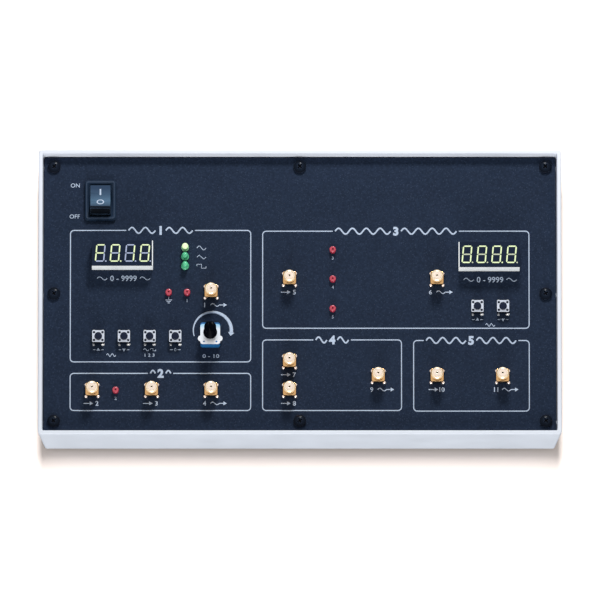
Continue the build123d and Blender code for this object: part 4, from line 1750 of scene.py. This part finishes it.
@dataclass
class CoaxialJacks:
    """The threaded jacks, each with a raised base, four soldered legs and a cut thread.

    Attributes:
        count: How many there are.
        height: From the board to the mouth.
        crest_radius: Radius of the thread's crest.
        root_radius: Radius of its root.
        bore_radius: Radius of the bore.
        pitch: Rise of one turn.
        turns: How many turns it has.
        thread_start: Height of the lowest turn.
        base_size: Width of the square base.
        base_top: Height of its top.
        standoff: Height of its underside.
        base_round: Radius of its upright corners.
        edge_round: Width of the rounding on the base's upper edges and of the chamfer in the bore's mouth.
        leg_size: Width of a leg.
        solder_radius: Radius of a solder joint.
        solder_top: Height of a solder joint.
        solder_pitch: From one joint to the next.
    """

    count: int = 11
    height: float = 9.0 * MM
    crest_radius: float = 3.0 * MM
    root_radius: float = 2.6 * MM
    bore_radius: float = 2.1 * MM
    pitch: float = 0.7056 * MM
    turns: int = 4
    thread_start: float = 5.25 * MM
    base_size: float = 6.4 * MM
    base_top: float = 4.2 * MM
    standoff: float = 1.4 * MM
    base_round: float = 0.8 * MM
    edge_round: float = 0.12 * MM
    leg_size: float = 0.9 * MM
    solder_radius: float = 1.05 * MM
    solder_top: float = 1.7 * MM
    solder_pitch: float = 6.0 * MM

    def base(self) -> Piece:
        """The square base that stands on the four legs.

        Returns:
            The base, at the origin.
        """
        thick = self.base_top - self.standoff
        block = box("base", (self.base_size, self.base_size, thick), (0, 0, self.standoff + thick / 2))
        with Editing(block, "EDGE") as edit:
            edit.pick(lambda centre, along: abs(along.z) > PARALLEL)
            edit.bevel(self.base_round, 4)
            edit.pick(lambda centre, along: centre.z > self.base_top - TOLERANCE)
            edit.bevel(self.edge_round, 2)
        return block

    def corners(self) -> list[Point]:
        """The four legs' places round a jack's middle."""
        reach = self.solder_pitch / 2
        return [(x * reach, y * reach) for x, y in CORNERS]

    def legs(self) -> list[Piece]:
        """Four square legs that carry the base.

        Returns:
            The legs, round the origin.
        """
        size, inward = self.leg_size, 1 - self.leg_size / self.solder_pitch
        overlap = 0.2 * MM
        height = self.standoff + overlap
        spots = [(inward * x, inward * y, height / 2) for x, y in self.corners()]
        return [box("leg", (size, size, height), spot) for spot in spots]

    def solder(self) -> Piece:
        """The rounded solder joints at every jack's legs.

        Returns:
            All the joints as one piece, in place.
        """
        r, top = self.solder_radius, self.solder_top
        shoulder = [(0.4 * r, 0.96 * top), (0.7 * r, 0.8 * top), (0.9 * r, 0.45 * top)]
        joint = turned("joint", [(0, top), *shoulder, (r, 0), (0, 0)], 20)
        smooth(joint, 60)
        jacks = [middle(f"jack_shell_{number}") for number in range(1, self.count + 1)]
        places = [(jack.x + x, jack.y + y, BOARD_TOP) for jack in jacks for x, y in self.corners()]
        return repeated("jack_solder", joint, places)

    def barrel(self) -> Piece:
        """The bored barrel under the thread, with a lead-in at its mouth.

        Returns:
            The barrel, at the origin.
        """
        lead = 0.3 * MM
        profile = [
            (self.bore_radius, self.standoff),
            (self.bore_radius, self.height - self.edge_round),
            (self.bore_radius + self.edge_round, self.height),
            (self.crest_radius - 0.2 * MM - lead / 2, self.height),
            (self.crest_radius - 0.1 * MM, self.height - lead),
            (self.root_radius, self.height - lead - 0.15 * MM),
            (self.root_radius, self.base_top),
            (self.root_radius, self.standoff),
        ]
        return turned("barrel", profile, 48, closed=True)

    def thread(self) -> Piece:
        """The thread's ridge, wound up the barrel.

        Returns:
            The ridge, at the origin.
        """
        root, crest, half = self.root_radius - 0.03 * MM, self.crest_radius, 0.42 * self.pitch
        section = [(root, -half), (crest, -0.12 * self.pitch), (crest, 0.12 * self.pitch), (root, half)]
        links = [(0, 1), (1, 2), (2, 3), (3, 0)]
        ridge = meshed("thread", [(radius, 0, self.thread_start + z) for radius, z in section], links)
        modify(
            ridge,
            "SCREW",
            axis="Z",
            screw_offset=self.pitch,
            iterations=self.turns,
            steps=36,
            render_steps=36,
            use_merge_vertices=False,
        )
        with Editing(ridge, "EDGE") as edit:
            bpy.ops.mesh.select_non_manifold()
            bpy.ops.mesh.fill_holes(sides=6)
            edit.face_outwards()
        return ridge

    def build(self) -> None:
        """Models the shells and dresses the jacks."""
        pattern = joined("jack_pattern", [self.base(), *self.legs(), self.barrel(), self.thread()])
        smooth(pattern, 30)
        for number in range(1, self.count + 1):
            node = f"jack_shell_{number}"
            place = middle(node)
            shell = copied(pattern, f"threaded_jack_{number}", (place.x, place.y, BOARD_TOP))
            fit(shell, GOLD, replaces=[node])
        drop(pattern)
        fit(self.solder(), JACK_SOLDER)
        smoothed("jack_insulators", INSULATOR)
        smoothed("jack_contacts", SOCKET_GOLD)


@dataclass
class RotaryControl:
    """The rotary control, with two pegs on its plate.

    Attributes:
        peg_reach: From the base's middle to the pegs, to each side and to the front.
        peg_radius: Radius of a peg.
    """

    peg_reach: Point = (3.1 * MM, 4.3 * MM)
    peg_radius: float = 0.45 * MM

    def build(self) -> None:
        """Models the pegs and dresses the control."""
        centre = middle("pot_base")
        plate_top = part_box("pot_frame")[1].z
        r = self.peg_radius
        peg = turned("peg", [(0, 0.16 * MM), (0.7 * r, 0.14 * MM), (r, 0), (0, 0)], 20)
        smooth(peg)
        reach_x, reach_y = self.peg_reach
        places = [(centre.x + side * reach_x, centre.y - reach_y, plate_top) for side in (-1, 1)]
        fit(repeated("control_pegs", peg, places), POT_BLUE)
        dress("pot_base", POT_BLUE)
        dress("pot_frame", PLATE_STEEL_BLUE_REFLECTION)
        dress("pot_terminals", TIN)
        smoothed("pot_shaft", SHAFT_BLACK, "pot_shaft", weighted=False)


class Glow(Enum):
    """How one segment of a display looks."""

    LIT = "lit"
    DIM = "dim"
    OFF = "off"


@dataclass
class Display:
    """A four-digit display with lit and unlit segments.

    Attributes:
        side: left or right.
        digits: For each digit the glow of its seven segments and its point, in the order front bar,
            middle bar, back bar, front left, back left, front right, back right, point.
        pitch: From one digit to the next.
        height: From the front bar's centre line to the back bar's.
        width: From the left posts' centre lines to the right ones'.
        slant: How far the digits lean to the right, in degrees.
        line: Width of a segment.
        gap: From a segment's tip to the corner where the centre lines meet.
        shift: From the housing's middle to the digits'.
        point_radius: Radius of the point.
        point_offset: From the right posts to the point's middle.
        depth: Height of a segment.
        dome: Radius of its upper edges.
        tip: Share of a segment's width that is left at its tips.
    """

    side: str
    digits: tuple[str, ...]
    pitch: float = 7.34 * MM
    height: float = 8.35 * MM
    width: float = 4.05 * MM
    slant: float = 5.0
    line: float = 0.7 * MM
    gap: float = 0.12 * MM
    shift: Point = (0.05 * MM, 0.0)
    point_radius: float = 0.45 * MM
    point_offset: float = 0.75 * MM
    depth: float = 0.7 * MM
    dome: float = 0.1 * MM
    tip: float = 0.04

    GLOWS = {"L": Glow.LIT, "D": Glow.DIM, "-": Glow.OFF}
    FINISHES = {Glow.LIT: SEGMENT_LIT, Glow.DIM: SEGMENT_DIM, Glow.OFF: SEGMENT_OFF}

    def bar(self, length: float, upright: bool) -> Piece:
        """One segment as a pointed bar, with its upper edge rounded.

        Args:
            length: From centre line to centre line of its neighbours.
            upright: Whether it stands along Y.

        Returns:
            The bar at the origin, its top on Z = 0.
        """
        reach = length / 2 - self.gap
        size = (2 * (reach - self.line / 2), self.line, self.depth)
        bar = box("bar", size, (0, 0, -self.depth / 2))
        for side in (-1, 1):
            with Editing(bar) as edit:
                edit.pick(lambda centre, normal: normal.x * side > PARALLEL)
                edit.extrude(x=side * self.line / 2)
                edit.shrink((1, self.tip, 1), Vector((0, 0, 0)))
        with Editing(bar, "EDGE") as edit:
            edit.pick(lambda centre, along: centre.z > -TOLERANCE)
            edit.bevel(self.dome, 2)
        if upright:
            bar.data.transform(Matrix.Rotation(math.pi / 2, 4, "Z"))
        return bar

    def segment_places(self) -> list[tuple[float, float, bool]]:
        """Middle of each of the seven segments, and whether it stands upright.

        Returns:
            X, Y and whether it stands upright, for each segment.
        """
        half_bar = self.width / 2
        half_post = self.height / 4
        bars = [(0.0, row * self.height / 2, False) for row in (-1, 0, 1)]
        posts = [(side * half_bar, row * half_post, True) for side in (-1, 1) for row in (-1, 1)]
        return bars + posts

    def build(self) -> None:
        """Models the segments and dresses the display."""
        low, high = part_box(f"display_housing_{self.side}")
        top = high.z
        centre = (low + high) / 2
        lean = Matrix.Identity(4)
        lean[0][1] = math.tan(math.radians(self.slant))
        level_bar = self.bar(self.width, False)
        upright_bar = self.bar(self.height / 2, True)
        r, foot = self.point_radius, -self.depth
        point = turned("point", [(0, 0), (r - self.dome, 0), (r, -self.dome), (r, foot), (0, foot)], 12)
        groups = {glow: [] for glow in Glow}
        for digit, glows in enumerate(self.digits):
            x = centre.x + self.shift[0] + (digit - (len(self.digits) - 1) / 2) * self.pitch
            home = Matrix.Translation((x, centre.y + self.shift[1], top))
            for (along, up, upright), letter in zip(self.segment_places(), glows):
                piece = copied(upright_bar if upright else level_bar, "segment", (along, up, 0))
                piece.data.transform(home @ lean)
                groups[self.GLOWS[letter]].append(piece)
            spot = (self.width / 2 + self.point_offset, -self.height / 2, 0)
            dot = copied(point, "point", spot)
            dot.data.transform(home)
            groups[self.GLOWS[glows[-1]]].append(dot)
        for glow, pieces in groups.items():
            if pieces:
                piece = joined(f"segments_{self.side}_{glow.value}", pieces)
                fit(piece, self.FINISHES[glow], replaces=[f"display_segments_{self.side}"])
        drop(level_bar, upright_bar, point)
        dress(f"display_housing_{self.side}", DISPLAY_WHITE)
        dress(f"display_face_{self.side}", DISPLAY_DARK)


@dataclass
class Lamps:
    """The three lamps.

    Attributes:
        lit: The one that is lit.
    """

    lit: str = "sine_lamp"

    def build(self) -> None:
        """Dresses the lamps and their leads."""
        for lamp in ("sine_lamp", "triangle_lamp", "square_lamp"):
            smoothed(lamp, LAMP_LIT if lamp == self.lit else LAMP_GREEN)
        dress("lamp_leads", TIN)


def test_point_places() -> list[Vector]:
    """Middle of each test point, at the board's level."""
    return [Vector((x * MM, y * MM, BOARD_TOP)) for x, y in TestPoints.places]


@dataclass
class TestPoints:
    """The red test points.

    Attributes:
        places: X and Y of each one, in millimetres.
    """

    places = ((-64.9, 0.6), (-55.8, 0.6), (-91.1, -49.7), (16.3, 22.5), (16.3, 7.5), (16.3, -7.8))

    def build(self) -> None:
        """Dresses the beads and their pins."""
        smoothed("test_point_beads", BEAD_RED)
        dress("test_point_pins", PIN_RED_REFLECTION)


# Studio


@dataclass
class Studio:
    """A plain white floor, soft light from the back and the front, and the camera.

    Attributes:
        tilt: How far the camera leans from straight down towards the front.
        distance: From the camera to what it looks at.
        view_width: Width of the frame at that distance.
        aim: What it looks at.
        ambient: Strength of the light from all round.
        key_height: Height of the back light above the horizon, in degrees.
        key_shift: How far it stands to the right, as a share of key_distance.
        key_distance: From what the camera looks at to the back light, the shift aside.
        key_size: Its width and length.
        key_share: Share of the board's light that it gives.
        fill_height: Height of the front light above the horizon, in degrees.
        fill_distance: From what the camera looks at to the front light.
        fill_size: Its width and length.
        fill_share: The front light's strength on an upright face, where 1 is the plain level.
        floor_share: Strength of the light that falls on the floor alone.
        floor_lean: How far that light leans from overhead to the back, in degrees.
        floor_distance: From what the camera looks at to that light.
        floor_size: Its width and length.
        floor_width: Width of the floor.
        floor_tint: The floor's colour as the camera sees it.
        floor_bounce: The floor's colour as it lights the object.
    """

    tilt: float = 16.0
    distance: float = 12.0
    view_width: float = 0.297
    aim: Sequence[float] = (0.1 * MM, -3.04 * MM, BOARD_TOP)
    ambient: float = 0.3
    key_height: float = 38.0
    key_shift: float = 0.1
    key_distance: float = 0.85
    key_size: float = 0.17
    key_share: float = 0.51
    fill_height: float = 16.0
    fill_distance: float = 2.2
    fill_size: float = 1.4
    fill_share: float = 0.80
    floor_share: float = 1.45
    floor_lean: float = 8.5
    floor_distance: float = 10.0
    floor_size: Point = (1.1, 3.4)
    floor_width: float = 8.0
    floor_tint: Colour = (0.85, 0.76, 0.71)
    floor_bounce: Colour = (0.08, 0.085, 0.09)

    def build_camera(self) -> None:
        """Looks down on the board from the front, from far away."""
        data = bpy.data.cameras.new("camera")
        data.sensor_width = 36.0
        data.lens = data.sensor_width * self.distance / self.view_width
        camera = added("camera", data)
        lean = math.radians(self.tilt)
        offset = Vector((0, -math.sin(lean), math.cos(lean))) * self.distance
        camera.location = Vector(self.aim) + offset
        camera.rotation_euler = (lean, 0, 0)
        bpy.context.scene.camera = camera

    def add_light(self, name: str, place: Vector, size: Point, level: float) -> Piece:
        """Adds a rectangular soft light that faces the board.

        Args:
            name: The light's name.
            place: Where it stands from the board's middle.
            size: Its length across and along.
            level: What it gives on a face turned to it, where 1 is the plain level.

        Returns:
            The light.
        """
        data = bpy.data.lights.new(name, "AREA")
        data.shape = "RECTANGLE"
        data.size, data.size_y = size
        data.energy = level * (math.pi * place.length) ** 2
        light = added(name, data)
        light.location = Vector(self.aim) + place
        light.rotation_euler = (-place).to_track_quat("-Z", "Y").to_euler()
        return light

    def build_lights(self, floor: Piece) -> None:
        """The back light for the object, the front light, and the light over the floor.

        Args:
            floor: The floor, which the back light leaves out and the last light is for.
        """
        rise = math.radians(self.key_height)
        place = Vector((self.key_shift, math.cos(rise), math.sin(rise))) * self.key_distance
        key = self.add_light("key", place, (self.key_size, self.key_size), self.key_share / math.sin(rise))
        rise = math.radians(self.fill_height)
        place = Vector((0, -math.cos(rise), math.sin(rise))) * self.fill_distance
        self.add_light("fill", place, (self.fill_size, self.fill_size), self.fill_share / math.cos(rise))
        lean = math.radians(self.floor_lean)
        place = Vector((0, math.sin(lean), math.cos(lean))) * self.floor_distance
        overhead = self.add_light("overhead", place, self.floor_size, self.floor_share)
        only_floor = bpy.data.collections.new("only_floor")
        only_floor.objects.link(floor)
        overhead.light_linking.receiver_collection = only_floor
        all_but_floor = bpy.data.collections.new("all_but_floor")
        all_but_floor.objects.link(floor)
        all_but_floor.collection_objects[0].light_linking.link_state = "EXCLUDE"
        key.light_linking.receiver_collection = all_but_floor

    def build_world(self) -> None:
        """Even light from all round, which cameras and mirrors see as white."""
        world = bpy.data.worlds.new("studio")
        bpy.context.scene.world = world
        world.use_nodes = True
        tree = world.node_tree
        tree.nodes.clear()
        output = tree.nodes.new("ShaderNodeOutputWorld")
        rays = tree.nodes.new("ShaderNodeLightPath")
        mix = tree.nodes.new("ShaderNodeMixShader")
        seen = rays.outputs["Is Camera Ray"]
        for ray in ("Is Glossy Ray", "Is Transmission Ray"):
            either = tree.nodes.new("ShaderNodeMath")
            either.operation = "MAXIMUM"
            tree.links.new(seen, either.inputs[0])
            tree.links.new(rays.outputs[ray], either.inputs[1])
            seen = either.outputs[0]
        tree.links.new(seen, mix.inputs[0])
        for target, strength in ((mix.inputs[1], self.ambient), (mix.inputs[2], 1.0)):
            light = tree.nodes.new("ShaderNodeBackground")
            light.inputs["Color"].default_value = (1, 1, 1, 1)
            light.inputs["Strength"].default_value = strength
            tree.links.new(light.outputs[0], target)
        tree.links.new(mix.outputs[0], output.inputs["Surface"])

    def build_floor(self) -> Piece:
        """A wide white floor that keeps the object's shadow.

        Returns:
            The floor.
        """
        bpy.ops.mesh.primitive_plane_add(size=self.floor_width)
        floor = bpy.context.object
        floor.name = "floor"
        sheet = NodeSheet("floor_white")
        sheet.shader.inputs["Roughness"].default_value = 0.9
        sheet.shader.inputs["Specular IOR Level"].default_value = 0.0
        seen = sheet.add("ShaderNodeLightPath").outputs["Is Camera Ray"]
        sheet.wire(sheet.mixed(seen, self.floor_bounce, self.floor_tint), sheet.shader.inputs["Base Color"])
        floor.data.materials.append(sheet.material)
        return floor

    def build(self) -> None:
        """Sets up the whole studio."""
        bpy.context.scene.view_settings.view_transform = "Standard"
        self.build_camera()
        self.build_world()
        self.build_lights(self.build_floor())


def main() -> None:
    """Builds the trainer's sub-assemblies in order."""
    logging.basicConfig(level=logging.INFO, format="%(name)s %(message)s")
    bpy.ops.object.select_all(action="DESELECT")
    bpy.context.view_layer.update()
    Studio().build()
    Tray().build()
    Board().build()
    BoardPrint().draw()
    RockerSwitch().build()
    PushSwitches().build()
    CoaxialJacks().build()
    RotaryControl().build()
    Display("left", ("-LLLL---", "L-LLLLLL", "-----LL-", "L-LLLLL-")).build()
    Display("right", ("LDLLLLLD", "LDLLLLLD", "LDLLLLLL", "LDLLLLLD")).build()
    Lamps().build()
    TestPoints().build()


if __name__ == "__main__":
    main()
